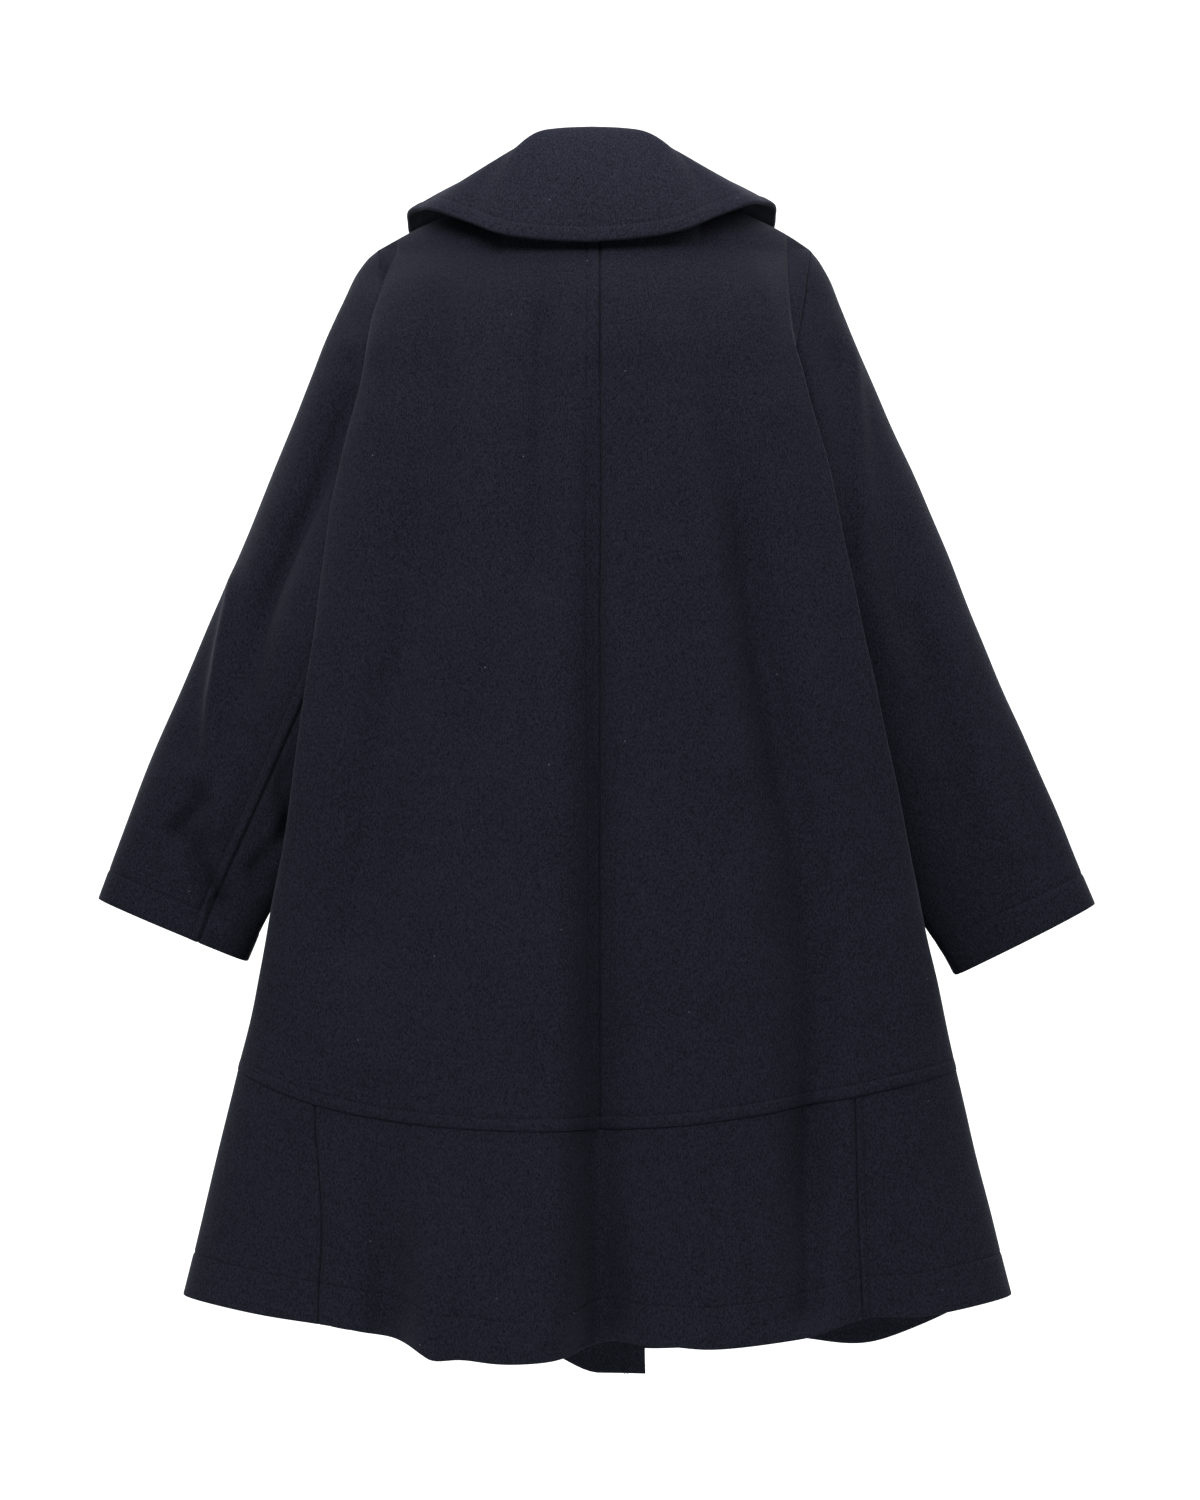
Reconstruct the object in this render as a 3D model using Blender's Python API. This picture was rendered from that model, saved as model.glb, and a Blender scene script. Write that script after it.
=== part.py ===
"""Double-breasted A-line wool coat, filled out and hollow, seen from behind along +Y.

Metres, +Z up, +X to the coat's right, the front faces +Y.  The origin lies between the
shoulders at the height of the neck.  Every cloth piece is a closed wall on one shared
surface: rings round the body below the shoulders, ovals along each sleeve, and a folded
profile round the neck for the collar.
"""
import math
from collections import namedtuple

import bmesh
import bpy
from mathutils import Vector

# Cloth and seams
CLOTH = 0.0025
COLLAR_CLOTH = 0.004
SEAM = 0.0003
ARMHOLE_SEAM = 0.0005
COLLAR_SEAM = 0.0005
BAND_SET_IN = 0.0012

# Neck and shoulders
NECK_HALF = 0.081
NECK_BACK = 0.058
NECK_FRONT = 0.075
NECK_POINT_Z = 0.004
NECK_BACK_DROP = 0.002
NECK_FRONT_DROP = 0.080
NECK_CURVE = 1.5
SHOULDER_HALF = 0.181
SHOULDER_SPREAD_LEFT = 0.006
SHOULDER_SPREAD_RIGHT = -0.003
SHOULDER_SPREAD_DROP = 0.20
SHOULDER_Z = -0.037
SHOULDER_CROWN = 0.007
ROLL_BACK = 0.10
ROLL_FRONT = 0.11
ROLL_AT_ARMHOLE = 0.005

# Armholes, each an oval seen from the side
UNDERARM_Z = -0.287
ARMHOLE_BACK = 0.055
ARMHOLE_FRONT = 0.058
ARMHOLE_STEPS = 8

# Share of the way from a side fold to the side seam in which the cloth turns in
SIDE_TURN = 0.6

# Heights of the hem band at the centre back, before the sides lift
BAND_SEAM_Z = -0.776
HEM_Z = -0.964
SIDE_LIFT = 0.045
LIFT_START_Z = -0.30
LIFT_SPAN = 0.40
LIFT_CURVE_SEAM_LEFT = 1.7
LIFT_CURVE_SEAM_RIGHT = 0.8
LIFT_CURVE_HEM = 0.7
LIFT_CURVE_FRONT_LEFT = 1.7
LIFT_CURVE_FRONT_RIGHT = 2.4
FRONT_DROP = 0.022
UNDERLAP_DROP = 0.022
UNDERLAP_HANG = 0.060
FOLD_HEM_RISE = 0.55

# Closing: how far each front passes the centre
OVERLAP_UPPER = 0.078
OVERLAP_UNDER = 0.040
UNDERLAP_GAP = 0.0022
UNDERLAP_NECK_GAP = 0.005
UNDERLAP_TUCK = 0.025
UNDERLAP_TUCK_LEAD = 1.4

# Hem band's upright seams, as distances from the centre back
BAND_JOIN_LEFT_TOP = 0.237
BAND_JOIN_LEFT_HEM = 0.233
BAND_JOIN_RIGHT_TOP = 0.212
BAND_JOIN_RIGHT_HEM = 0.218

# Sleeve seams, as angles round the sleeve from its outer edge by way of the back
SLEEVE_SEAM_LEFT = math.radians(112.5)
SLEEVE_SEAM_RIGHT = math.radians(157.5)
SLEEVE_FRONT_SEAM = math.radians(292.5)
SLEEVE_CAP_FADE = 0.30

# How the outer half of a sleeve fills out below its cap, 1 for a plain oval
SLEEVE_FULL_LEFT = 0.82
SLEEVE_FULL_RIGHT = 1.0

# Buttons
BUTTON_RADIUS = 0.014
BUTTON_THICK = 0.0045
BUTTON_RIM = 0.0025
BUTTON_DISH = 0.0012
BUTTON_EDGE = 0.001
BUTTON_SEAT = 0.0004
BUTTON_SIDES = 20
BUTTON_COLUMN = 0.058
BUTTON_TOP_Z = -0.175
BUTTON_PITCH = 0.140
BUTTON_ROWS = 3

# Mesh steps
NECK_STEPS = 5
SHOULDER_STEPS = 5
SIDE_STEPS = 3
OVERLAP_STEPS = 3
BODY_ROWS = 9
BAND_ROWS = 6
SLEEVE_ROWS = 13
SLEEVE_ROW_SPREAD = 1.25
STAND_STEPS = 4
FALL_STEPS = 7

# Finishes: linear colour and roughness
WOOL = ((0.0150, 0.0168, 0.0250), 0.95)
HORN = ((0.0080, 0.0080, 0.0100), 0.35)

LEFT = -1
RIGHT = 1

BodyRow = namedtuple("BodyRow", "z back_depth ridge_left ridge_right ridge_depth"
                                " side_half front_depth front_ridge front_ridge_depth")
BODY = [
    BodyRow(-0.040, 0.080, 0.166, 0.160, 0.030, 0.181, 0.088, 0.164, 0.030),
    BodyRow(-0.090, 0.103, 0.184, 0.161, 0.060, 0.173, 0.106, 0.166, 0.060),
    BodyRow(-0.150, 0.116, 0.197, 0.172, 0.074, 0.162, 0.122, 0.172, 0.074),
    BodyRow(-0.220, 0.123, 0.218, 0.190, 0.081, 0.158, 0.132, 0.190, 0.081),
    BodyRow(-0.290, 0.127, 0.231, 0.204, 0.085, 0.165, 0.137, 0.204, 0.084),
    BodyRow(-0.360, 0.131, 0.239, 0.218, 0.087, 0.163, 0.140, 0.216, 0.086),
    BodyRow(-0.430, 0.135, 0.249, 0.232, 0.087, 0.176, 0.142, 0.228, 0.086),
    BodyRow(-0.540, 0.142, 0.260, 0.252, 0.082, 0.210, 0.146, 0.248, 0.082),
    BodyRow(-0.630, 0.148, 0.274, 0.267, 0.074, 0.250, 0.149, 0.264, 0.074),
    BodyRow(-0.700, 0.153, 0.285, 0.282, 0.068, 0.275, 0.152, 0.280, 0.068),
    BodyRow(-0.776, 0.158, 0.304, 0.300, 0.063, 0.296, 0.155, 0.299, 0.063),
    BodyRow(-0.964, 0.168, 0.351, 0.346, 0.060, 0.342, 0.163, 0.345, 0.060),
]

# Folds run from a high point to a low one; a positive depth stands out from the coat
Fold = namedtuple("Fold", "x_high z_high x_low z_low wide_high wide_low depth_high depth_low")
BACK_FOLDS = [
    Fold(-0.006, -0.220, 0.004, -0.964, 0.012, 0.026, -0.003, -0.023),
    Fold(-0.032, -0.240, -0.090, -0.964, 0.020, 0.055, 0.002, 0.015),
    Fold(0.030, -0.480, 0.046, -0.964, 0.030, 0.035, -0.001, -0.012),
    Fold(-0.126, -0.800, -0.137, -0.964, 0.016, 0.018, 0.001, 0.012),
    Fold(0.103, -0.090, 0.172, -0.700, 0.020, 0.026, -0.006, -0.014),
    Fold(0.196, -0.320, 0.232, -0.700, 0.016, 0.018, -0.004, -0.006),
    Fold(-0.046, -0.120, -0.048, -0.340, 0.014, 0.014, -0.004, -0.001),
    Fold(-0.150, -0.130, -0.190, -0.520, 0.022, 0.028, -0.006, -0.005),
    Fold(-0.195, -0.800, -0.225, -0.964, 0.022, 0.044, -0.001, -0.004),
    Fold(0.205, -0.760, 0.224, -0.964, 0.030, 0.033, -0.002, -0.016),
]
FRONT_FOLDS = [
    Fold(0.110, -0.300, 0.165, -0.964, 0.024, 0.036, -0.004, -0.018),
    Fold(-0.120, -0.280, -0.180, -0.964, 0.024, 0.036, -0.004, -0.016),
    Fold(0.205, -0.650, 0.240, -0.964, 0.022, 0.034, 0.001, 0.010),
    Fold(-0.225, -0.650, -0.255, -0.964, 0.022, 0.034, -0.001, -0.008),
]
FOLD_FADE = 0.08

# Sleeve sections from the armhole to the cuff, each an oval between its two edges
SleeveRow = namedtuple("SleeveRow", "along outer_x outer_z inner_x inner_z"
                                    " back_half front_half middle_y")
SLEEVE = {
    LEFT: [
        SleeveRow(0.00, 0.1870, SHOULDER_Z, 0.1650, UNDERARM_Z, ARMHOLE_BACK, ARMHOLE_FRONT, 0.000),
        SleeveRow(0.05, 0.2005, -0.0510, 0.1660, -0.3000, 0.052, 0.055, 0.000),
        SleeveRow(0.12, 0.2155, -0.0820, 0.1680, -0.3150, 0.052, 0.053, 0.000),
        SleeveRow(0.30, 0.2600, -0.1850, 0.1770, -0.3550, 0.060, 0.055, 0.002),
        SleeveRow(0.50, 0.3040, -0.2880, 0.2050, -0.4200, 0.061, 0.055, 0.006),
        SleeveRow(0.70, 0.3545, -0.4070, 0.2410, -0.5100, 0.054, 0.052, 0.010),
        SleeveRow(0.88, 0.4000, -0.5180, 0.2790, -0.5910, 0.043, 0.045, 0.013),
        SleeveRow(1.00, 0.4270, -0.5890, 0.3015, -0.6415, 0.038, 0.040, 0.015),
    ],
    RIGHT: [
        SleeveRow(0.00, 0.1780, SHOULDER_Z, 0.1650, UNDERARM_Z, ARMHOLE_BACK, ARMHOLE_FRONT, 0.000),
        SleeveRow(0.05, 0.1900, -0.0530, 0.1660, -0.3000, 0.052, 0.055, 0.000),
        SleeveRow(0.12, 0.2040, -0.0840, 0.1670, -0.3150, 0.050, 0.053, 0.000),
        SleeveRow(0.30, 0.2475, -0.1850, 0.1740, -0.3520, 0.050, 0.055, 0.002),
        SleeveRow(0.50, 0.2935, -0.2880, 0.2000, -0.4200, 0.049, 0.053, 0.006),
        SleeveRow(0.70, 0.3420, -0.4070, 0.2370, -0.5100, 0.045, 0.048, 0.010),
        SleeveRow(0.88, 0.3915, -0.5180, 0.2720, -0.5930, 0.040, 0.042, 0.013),
        SleeveRow(1.00, 0.4230, -0.5930, 0.3030, -0.6530, 0.038, 0.040, 0.015),
    ],
}

# Collar sections by the angle round the neck from the centre back
CollarRow = namedtuple("CollarRow", "angle roll_x roll_y roll_z edge_x edge_y edge_z bulge")
COLLAR = [
    CollarRow(0, 0.000, -0.058, 0.060, 0.000, -0.091, -0.038, 0.011),
    CollarRow(25, 0.032, -0.056, 0.0585, 0.056, -0.086, -0.033, 0.009),
    CollarRow(50, 0.058, -0.050, 0.045, 0.106, -0.064, -0.016, 0.005),
    CollarRow(75, 0.077, -0.022, 0.032, 0.146, -0.022, -0.002, 0.003),
    CollarRow(95, 0.085, 0.012, 0.024, 0.157, 0.026, -0.009, 0.004),
    CollarRow(120, 0.080, 0.052, 0.004, 0.146, 0.090, -0.044, 0.008),
    CollarRow(145, 0.056, 0.078, -0.028, 0.112, 0.126, -0.090, 0.010),
    CollarRow(162, 0.030, 0.090, -0.048, 0.070, 0.134, -0.100, 0.008),
]
COLLAR_SHIFT = -0.007
COLLAR_LEAN = 0.018
STAND_RISE = 0.6
ROLL_HANDLE_IN = 0.007
ROLL_HANDLE_OUT = 0.014
FALL_HANDLE = 0.40

# Stations round the body, from the centre back by way of the side
BACK_FOLD_STATION = 1.0
SIDE_STATION = 2.0
FRONT_SIDE_STATION = 2.000001
FRONT_FOLD_STATION = 3.0
FRONT_STATION = 4.0
FULL_TURN = 8.0
QUARTER = math.pi / 2.0

COLUMN_STEP = 1e-3
ROW_STEP = 1e-3
MERGE = 1e-6
AXIS_X, AXIS_Y, AXIS_Z = range(3)


def smooth(value):
    """Ease from 0 to 1 with level ends."""
    value = min(1.0, max(0.0, value))
    return value * value * (3.0 - 2.0 * value)


def mix(low, high, share):
    return low + (high - low) * share


def table_value(rows, key, column, at):
    """Read a table's column at a value of its key, along a curve with no overshoot."""
    keys = [getattr(row, key) for row in rows]
    values = [getattr(row, column) for row in rows]
    if keys[0] > keys[-1]:
        keys.reverse()
        values.reverse()
    if at <= keys[0]:
        return values[0]
    if at >= keys[-1]:
        return values[-1]
    spans = [high - low for low, high in zip(keys, keys[1:])]
    rises = [(high - low) / span for low, high, span in zip(values, values[1:], spans)]
    slopes = [rises[0]]
    for before, after in zip(rises, rises[1:]):
        slopes.append(2.0 * before * after / (before + after) if before * after > 0.0 else 0.0)
    slopes.append(rises[-1])
    index = max(i for i, value in enumerate(keys[:-1]) if value <= at)
    share = (at - keys[index]) / spans[index]
    left = values[index] + share * spans[index] * slopes[index]
    right = values[index + 1] - (1.0 - share) * spans[index] * slopes[index + 1]
    ease = share * share * (3.0 - 2.0 * share)
    return mix(left, right, ease)


def armhole_width(z, half):
    """Half the armhole's width at a height, nothing below the underarm."""
    middle = (SHOULDER_Z + UNDERARM_Z) / 2.0
    reach = (SHOULDER_Z - UNDERARM_Z) / 2.0
    share = (z - middle) / reach
    return half * math.sqrt(max(0.0, 1.0 - share * share))


def shoulder_spread(side, x, z):
    """How much further out the cloth lies near one shoulder than the tables give."""
    spread = SHOULDER_SPREAD_LEFT if side == LEFT else SHOULDER_SPREAD_RIGHT
    across = smooth((x - NECK_HALF) / (SHOULDER_HALF - NECK_HALF))
    return spread * across * (1.0 - smooth((SHOULDER_Z - z) / SHOULDER_SPREAD_DROP))


def ring_xy(side, station, z):
    """Point of the body's ring, wider at one shoulder than at the other."""
    x, y = even_ring(side, station, z)
    return x + shoulder_spread(side, x, z), y


def even_ring(side, station, z):
    """Point of the ring from the tables: station 0 centre back, 2 side, 4 centre front."""
    def size(column):
        return table_value(BODY, "z", column, z)

    side_half = size("side_half")
    turn = mix(1.0, SIDE_TURN, smooth((SHOULDER_Z - z) / ROLL_BACK))
    if station <= SIDE_STATION:
        ridge = size("ridge_left") if side == LEFT else size("ridge_right")
        depth = size("ridge_depth")
        if station <= BACK_FOLD_STATION:
            angle = station * QUARTER
            return ridge * math.sin(angle), -mix(depth, size("back_depth"), math.cos(angle))
        share = station - BACK_FOLD_STATION
        edge = armhole_width(z, ARMHOLE_BACK)
        return mix(ridge, side_half, smooth(share / turn)), -mix(depth, edge, share)
    ridge = size("front_ridge")
    depth = size("front_ridge_depth")
    if station >= FRONT_FOLD_STATION:
        angle = (FRONT_STATION - station) * QUARTER
        return ridge * math.sin(angle), mix(depth, size("front_depth"), math.cos(angle))
    share = FRONT_FOLD_STATION - station
    edge = armhole_width(z, ARMHOLE_FRONT)
    return mix(ridge, side_half, smooth(share / turn)), mix(depth, edge, share)


def neck_edge(reach, front):
    """Depth and height of the neck line, reach 0 at its centre and 1 at the shoulder."""
    root = math.sqrt(1.0 - min(1.0, reach) ** 2)
    dip = 1.0 - min(1.0, reach) ** NECK_CURVE
    if front:
        return NECK_FRONT * root, NECK_POINT_Z - NECK_FRONT_DROP * dip
    return -NECK_BACK * root, NECK_POINT_Z - NECK_BACK_DROP * dip


def top_edge(side, station):
    """Depth and height of the neck and shoulder line above a station."""
    front = station > SIDE_STATION
    x = abs(ring_xy(side, station, SHOULDER_Z)[0])
    if x < NECK_HALF:
        return neck_edge(x / NECK_HALF, front)
    tip = ring_xy(side, SIDE_STATION, SHOULDER_Z)[0]
    share = min(1.0, (x - NECK_HALF) / (tip - NECK_HALF))
    return 0.0, mix(NECK_POINT_Z, SHOULDER_Z, share) + SHOULDER_CROWN * math.sin(math.pi * share)


def fold_depth(folds, x, z):
    """How far the folds push the cloth out at a place on the back or the front."""
    total = 0.0
    for fold in folds:
        share = (fold.z_high - z) / (fold.z_high - fold.z_low)
        fade = smooth(1.0 + share * (fold.z_high - fold.z_low) / FOLD_FADE)
        tail = smooth(1.0 - (fold.z_low - z - FOLD_FADE) / (2.0 * FOLD_FADE))
        share = min(1.0, max(0.0, share))
        middle = mix(fold.x_high, fold.x_low, share)
        wide = mix(fold.wide_high, fold.wide_low, share)
        depth = mix(fold.depth_high, fold.depth_low, share) * fade * tail
        total += depth * math.exp(-((x - middle) / wide) ** 2)
    return total


def lift_curve(side, front, hem):
    """How sharply a level line of the coat rises towards the sides."""
    if front:
        return LIFT_CURVE_FRONT_LEFT if side == LEFT else LIFT_CURVE_FRONT_RIGHT
    seam = LIFT_CURVE_SEAM_LEFT if side == LEFT else LIFT_CURVE_SEAM_RIGHT
    return mix(seam, LIFT_CURVE_HEM, hem)


def surface_point(side, station, z):
    """Point of the coat's outer surface at a station and a height before the sides lift."""
    x, y = ring_xy(side, station, z)
    y_top, z_top = top_edge(side, station)
    front = station > SIDE_STATION
    roll = ROLL_FRONT if front else ROLL_BACK
    roll = mix(roll, ROLL_AT_ARMHOLE, smooth(1.0 - abs(station - SIDE_STATION)))
    drop = min(1.0, max(0.0, (z_top - z) / roll))
    turned = math.sqrt(1.0 - (1.0 - drop) ** 2)
    y = mix(y_top, y, turned)
    arc = FRONT_STATION - station if front else station
    across = math.sin(arc * QUARTER) ** 2 if arc <= BACK_FOLD_STATION else 1.0
    fold = fold_depth(FRONT_FOLDS if front else BACK_FOLDS, side * x, z) * (1.0 - across ** 2)
    fold *= turned
    y += fold if front else -fold
    low = smooth((LIFT_START_Z - z) / LIFT_SPAN)
    hem = smooth((BAND_SEAM_Z - z) / (BAND_SEAM_Z - HEM_Z))
    lift = across ** lift_curve(side, front, hem)
    height = z + SIDE_LIFT * low * lift - FOLD_HEM_RISE * fold * hem
    if front:
        height -= FRONT_DROP * low * (1.0 - lift)
    if front and side == LEFT:
        tuck = smooth((side * x + OVERLAP_UPPER) / UNDERLAP_TUCK + UNDERLAP_TUCK_LEAD)
        tuck *= smooth((SHOULDER_Z - z) / UNDERLAP_TUCK)
        below = CLOTH + UNDERLAP_GAP + UNDERLAP_NECK_GAP * (1.0 - turned)
        y -= tuck * below
        hang = smooth((side * x + UNDERLAP_HANG) / UNDERLAP_HANG)
        height -= tuck * below * (1.0 - turned) + hang * low * UNDERLAP_DROP
    return Vector((side * x, y, height))


def body_point(side, station, share):
    """Point of a body panel, share 0 at the neck or shoulder and 1 at the band's seam."""
    z_top = top_edge(side, min(station, FRONT_STATION))[1]
    return surface_point(side, station, mix(z_top, BAND_SEAM_Z, share))


def band_point(side, station, share):
    """Point of the hem band, share 0 at its seam and 1 at the hem."""
    return surface_point(side, station, mix(BAND_SEAM_Z, HEM_Z, share))


def normal_at(point, side, column, row):
    """Outward direction of a surface, from two short steps along it."""
    low = column - COLUMN_STEP
    high = column + COLUMN_STEP
    if low < SIDE_STATION < high:
        low, high = (low, column) if column <= SIDE_STATION else (column, high)
    across = point(side, high, row) - point(side, low, row)
    down = point(side, column, row + ROW_STEP) - point(side, column, row)
    return across.cross(down).normalized()


def flatten(normal, axes):
    """Take some axes out of a direction, so that a seam's end faces meet squarely."""
    for axis in axes:
        normal[axis] = 0.0
    return normal.normalized()


def station_at(side, x, z, front):
    """Station on the back or the front at a distance from the centre."""
    column = "front_ridge"
    if not front:
        column = "ridge_left" if side == LEFT else "ridge_right"
    share = math.asin(x / table_value(BODY, "z", column, z)) / QUARTER
    return FRONT_STATION - share if front else share


def new_material(name, finish):
    colour, roughness = finish
    material = bpy.data.materials.new(name)
    material.use_nodes = True
    shader = material.node_tree.nodes["Principled BSDF"]
    shader.inputs["Base Color"].default_value = (*colour, 1.0)
    shader.inputs["Roughness"].default_value = roughness
    shader.inputs["Metallic"].default_value = 0.0
    return material


def new_object(name, mesh_builder, finish):
    mesh = bpy.data.meshes.new(name)
    mesh_builder.to_mesh(mesh)
    mesh_builder.free()
    mesh.shade_smooth()
    thing = bpy.data.objects.new(name, mesh)
    bpy.context.scene.collection.objects.link(thing)
    mesh.materials.append(new_material(name + "_finish", finish))
    return thing


def wall(name, outer, inner, finish):
    """Close two like grids of points, the outer and inner faces of the cloth, into a solid."""
    builder = bmesh.new()
    faces = [[[builder.verts.new(point) for point in row] for row in grid]
             for grid in (outer, inner)]
    rows = len(outer)
    columns = len(outer[0])
    for row in range(rows - 1):
        for column in range(columns - 1):
            for grid in faces:
                builder.faces.new((grid[row][column], grid[row][column + 1],
                                   grid[row + 1][column + 1], grid[row + 1][column]))
    rim = [(0, column) for column in range(columns)]
    rim += [(row, columns - 1) for row in range(1, rows)]
    rim += [(rows - 1, column) for column in reversed(range(columns - 1))]
    rim += [(row, 0) for row in reversed(range(1, rows - 1))]
    for (row, column), (next_row, next_column) in zip(rim, rim[1:] + rim[:1]):
        builder.faces.new((faces[0][row][column], faces[0][next_row][next_column],
                           faces[1][next_row][next_column], faces[1][row][column]))
    bmesh.ops.recalc_face_normals(builder, faces=builder.faces)
    return new_object(name, builder, finish)


def draw_in(outer, inner, edges, seam=SEAM):
    """Pull the named edges of a wall back by half a seam."""
    for edge in edges:
        for grid in (outer, inner):
            lines = grid if edge in ("top", "bottom") else list(zip(*grid))
            first, second = (0, 1) if edge in ("top", "first") else (-1, -2)
            for point, neighbour in zip(lines[first], lines[second]):
                point += (neighbour - point).normalized() * (seam / 2.0)


def panel(name, point, side, stations, shares, seams, top_line=None):
    """Build a panel of cloth; stations are functions of a row's share, seams name its edges.

    A band is given the line that its top follows, and lies a little below the cloth there.
    """
    set_in = BAND_SET_IN if top_line else 0.0
    outer = []
    inner = []
    for row, share in enumerate(shares):
        outer_row = []
        inner_row = []
        for column, station in enumerate(stations):
            place = station(share)
            normal = normal_at(point, side, place, share) * -side
            axes = seam_axes(row, column, len(shares), len(stations), seams)
            normal = flatten(normal, axes)
            spot = top_line(side, place) if top_line and row == 0 else point(side, place, share)
            spot -= normal * set_in
            outer_row.append(spot)
            inner_row.append(spot - normal * CLOTH)
        outer.append(outer_row)
        inner.append(inner_row)
    draw_in(outer, inner, [edge for edge in seams if seams[edge] is not None])
    return wall(name, outer, inner, WOOL)


def seam_axes(row, column, rows, columns, seams):
    """Axes to take out of the wall's direction where a panel's edges meet others."""
    axes = []
    if row == 0:
        axes.append(seams.get("top"))
    if row == rows - 1:
        axes.append(seams.get("bottom"))
    if column == 0:
        axes.append(seams.get("first"))
    if column == columns - 1:
        axes.append(seams.get("last"))
    return [axis for axis in axes if axis is not None]


def constant(value):
    return lambda share: value


def body_shares():
    """Rows of a body panel: the armhole's points, then even steps to the band's seam."""
    depth = SHOULDER_Z - BAND_SEAM_Z
    arm = (SHOULDER_Z - UNDERARM_Z) / depth
    shares = [arm * (1.0 - math.cos(math.pi * step / ARMHOLE_STEPS)) / 2.0
              for step in range(ARMHOLE_STEPS + 1)]
    shares += [mix(arm, 1.0, step / BODY_ROWS) for step in range(1, BODY_ROWS + 1)]
    return shares


def neck_angles():
    return [QUARTER * step / NECK_STEPS for step in range(NECK_STEPS + 1)]


def neck_stations(side, front):
    """Stations under the neck line, from the centre to the shoulder's neck point."""
    return [station_at(side, NECK_HALF * math.sin(angle), SHOULDER_Z, front)
            for angle in neck_angles()]


def half_stations(side, front):
    """Stations from the centre, past the neck and the shoulder, to the side."""
    near = neck_stations(side, front)
    ridge = FRONT_FOLD_STATION if front else BACK_FOLD_STATION
    stations = near + [mix(near[-1], ridge, step / SHOULDER_STEPS)
                       for step in range(1, SHOULDER_STEPS + 1)]
    edge = FRONT_SIDE_STATION if front else SIDE_STATION
    stations += [mix(ridge, edge, step / SIDE_STEPS) for step in range(1, SIDE_STEPS + 1)]
    return stations


def front_edge_station(side, reach, top, bottom):
    """Station that keeps its distance past the centre front, from one height to another."""
    return lambda share: FULL_TURN - station_at(side, reach, mix(top, bottom, share), True)


def overlap_of(side):
    return OVERLAP_UPPER if side == RIGHT else OVERLAP_UNDER


def build_backs():
    for side, name in ((LEFT, "back_left"), (RIGHT, "back_right")):
        stations = [constant(value) for value in half_stations(side, False)]
        seams = {"first": AXIS_X, "last": AXIS_Y, "bottom": AXIS_Z, "top": AXIS_Y}
        panel(name, body_point, side, stations, body_shares(), seams)


def build_fronts():
    for side, name in ((LEFT, "front_left"), (RIGHT, "front_right")):
        stations = [constant(value) for value in reversed(half_stations(side, True))]
        reach = overlap_of(side)
        top = NECK_POINT_Z - NECK_FRONT_DROP
        stations += [front_edge_station(side, reach * step / OVERLAP_STEPS, top, BAND_SEAM_Z)
                     for step in range(1, OVERLAP_STEPS + 1)]
        seams = {"first": AXIS_Y, "bottom": AXIS_Z, "top": AXIS_Y, "last": None}
        panel(name, body_point, side, stations, body_shares(), seams)


def band_shares():
    return [step / BAND_ROWS for step in range(BAND_ROWS + 1)]


def seam_stations(side):
    """Stations of the body's columns along the band's seam, from the back to the front edge."""
    reach = overlap_of(side)
    stations = half_stations(side, False)
    stations += reversed(half_stations(side, True)[:-1])
    stations += [FULL_TURN - station_at(side, reach * step / OVERLAP_STEPS, BAND_SEAM_Z, True)
                 for step in range(1, OVERLAP_STEPS + 1)]
    return stations


def seam_point(side, station):
    """Point on the straight steps of the body's lower edge."""
    if station < 0.0:
        return seam_point(LEFT, -station)
    stations = seam_stations(side)
    index = max(i for i, value in enumerate(stations[:-1]) if value <= station)
    low, high = stations[index], stations[index + 1]
    share = (station - low) / (high - low)
    return body_point(side, low, 1.0).lerp(body_point(side, high, 1.0), share)


def join_station(side, share):
    """Station of the band's upright seam on one side, at a row's share."""
    top, hem = BAND_JOIN_LEFT_TOP, BAND_JOIN_LEFT_HEM
    if side == RIGHT:
        top, hem = BAND_JOIN_RIGHT_TOP, BAND_JOIN_RIGHT_HEM
    return station_at(side, mix(top, hem, share), mix(BAND_SEAM_Z, HEM_Z, share), False)


def band_back_point(side, station, share):
    """Point of the back band, whose stations run below 0 on the left."""
    if station < 0.0:
        return band_point(LEFT, -station, share)
    return band_point(RIGHT, station, share)


def back_band_station(way, part):
    """Station that keeps its part of the way from the centre back to an upright seam."""
    return lambda share: way * part * join_station(way, share)


def side_band_station(side, part):
    """Station that keeps its part of the way from an upright seam to the side fold."""
    return lambda share: mix(join_station(side, share), BACK_FOLD_STATION, part)


def build_band_back():
    stations = []
    for way in (LEFT, RIGHT):
        join = join_station(way, 0.0)
        parts = [value / join for value in half_stations(way, False) if value < join] + [1.0]
        row = [back_band_station(way, part) for part in parts]
        stations += reversed(row[1:]) if way == LEFT else row
    seams = {"top": AXIS_Z, "first": AXIS_Z, "last": AXIS_Z, "bottom": None}
    panel("band_back", band_back_point, RIGHT, stations, band_shares(), seams, seam_point)


def build_band_sides():
    for side, name in ((LEFT, "band_left"), (RIGHT, "band_right")):
        join = join_station(side, 0.0)
        stations = [side_band_station(side, 0.0)]
        for value in seam_stations(side):
            if join < value <= BACK_FOLD_STATION:
                part = (value - join) / (BACK_FOLD_STATION - join)
                stations.append(side_band_station(side, part))
            elif BACK_FOLD_STATION < value <= FRONT_STATION:
                stations.append(constant(value))
        reach = overlap_of(side)
        stations += [front_edge_station(side, reach * step / OVERLAP_STEPS, BAND_SEAM_Z, HEM_Z)
                     for step in range(1, OVERLAP_STEPS + 1)]
        seams = {"top": AXIS_Z, "first": AXIS_Z, "bottom": None, "last": None}
        panel(name, band_point, side, stations, band_shares(), seams, seam_point)


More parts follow.
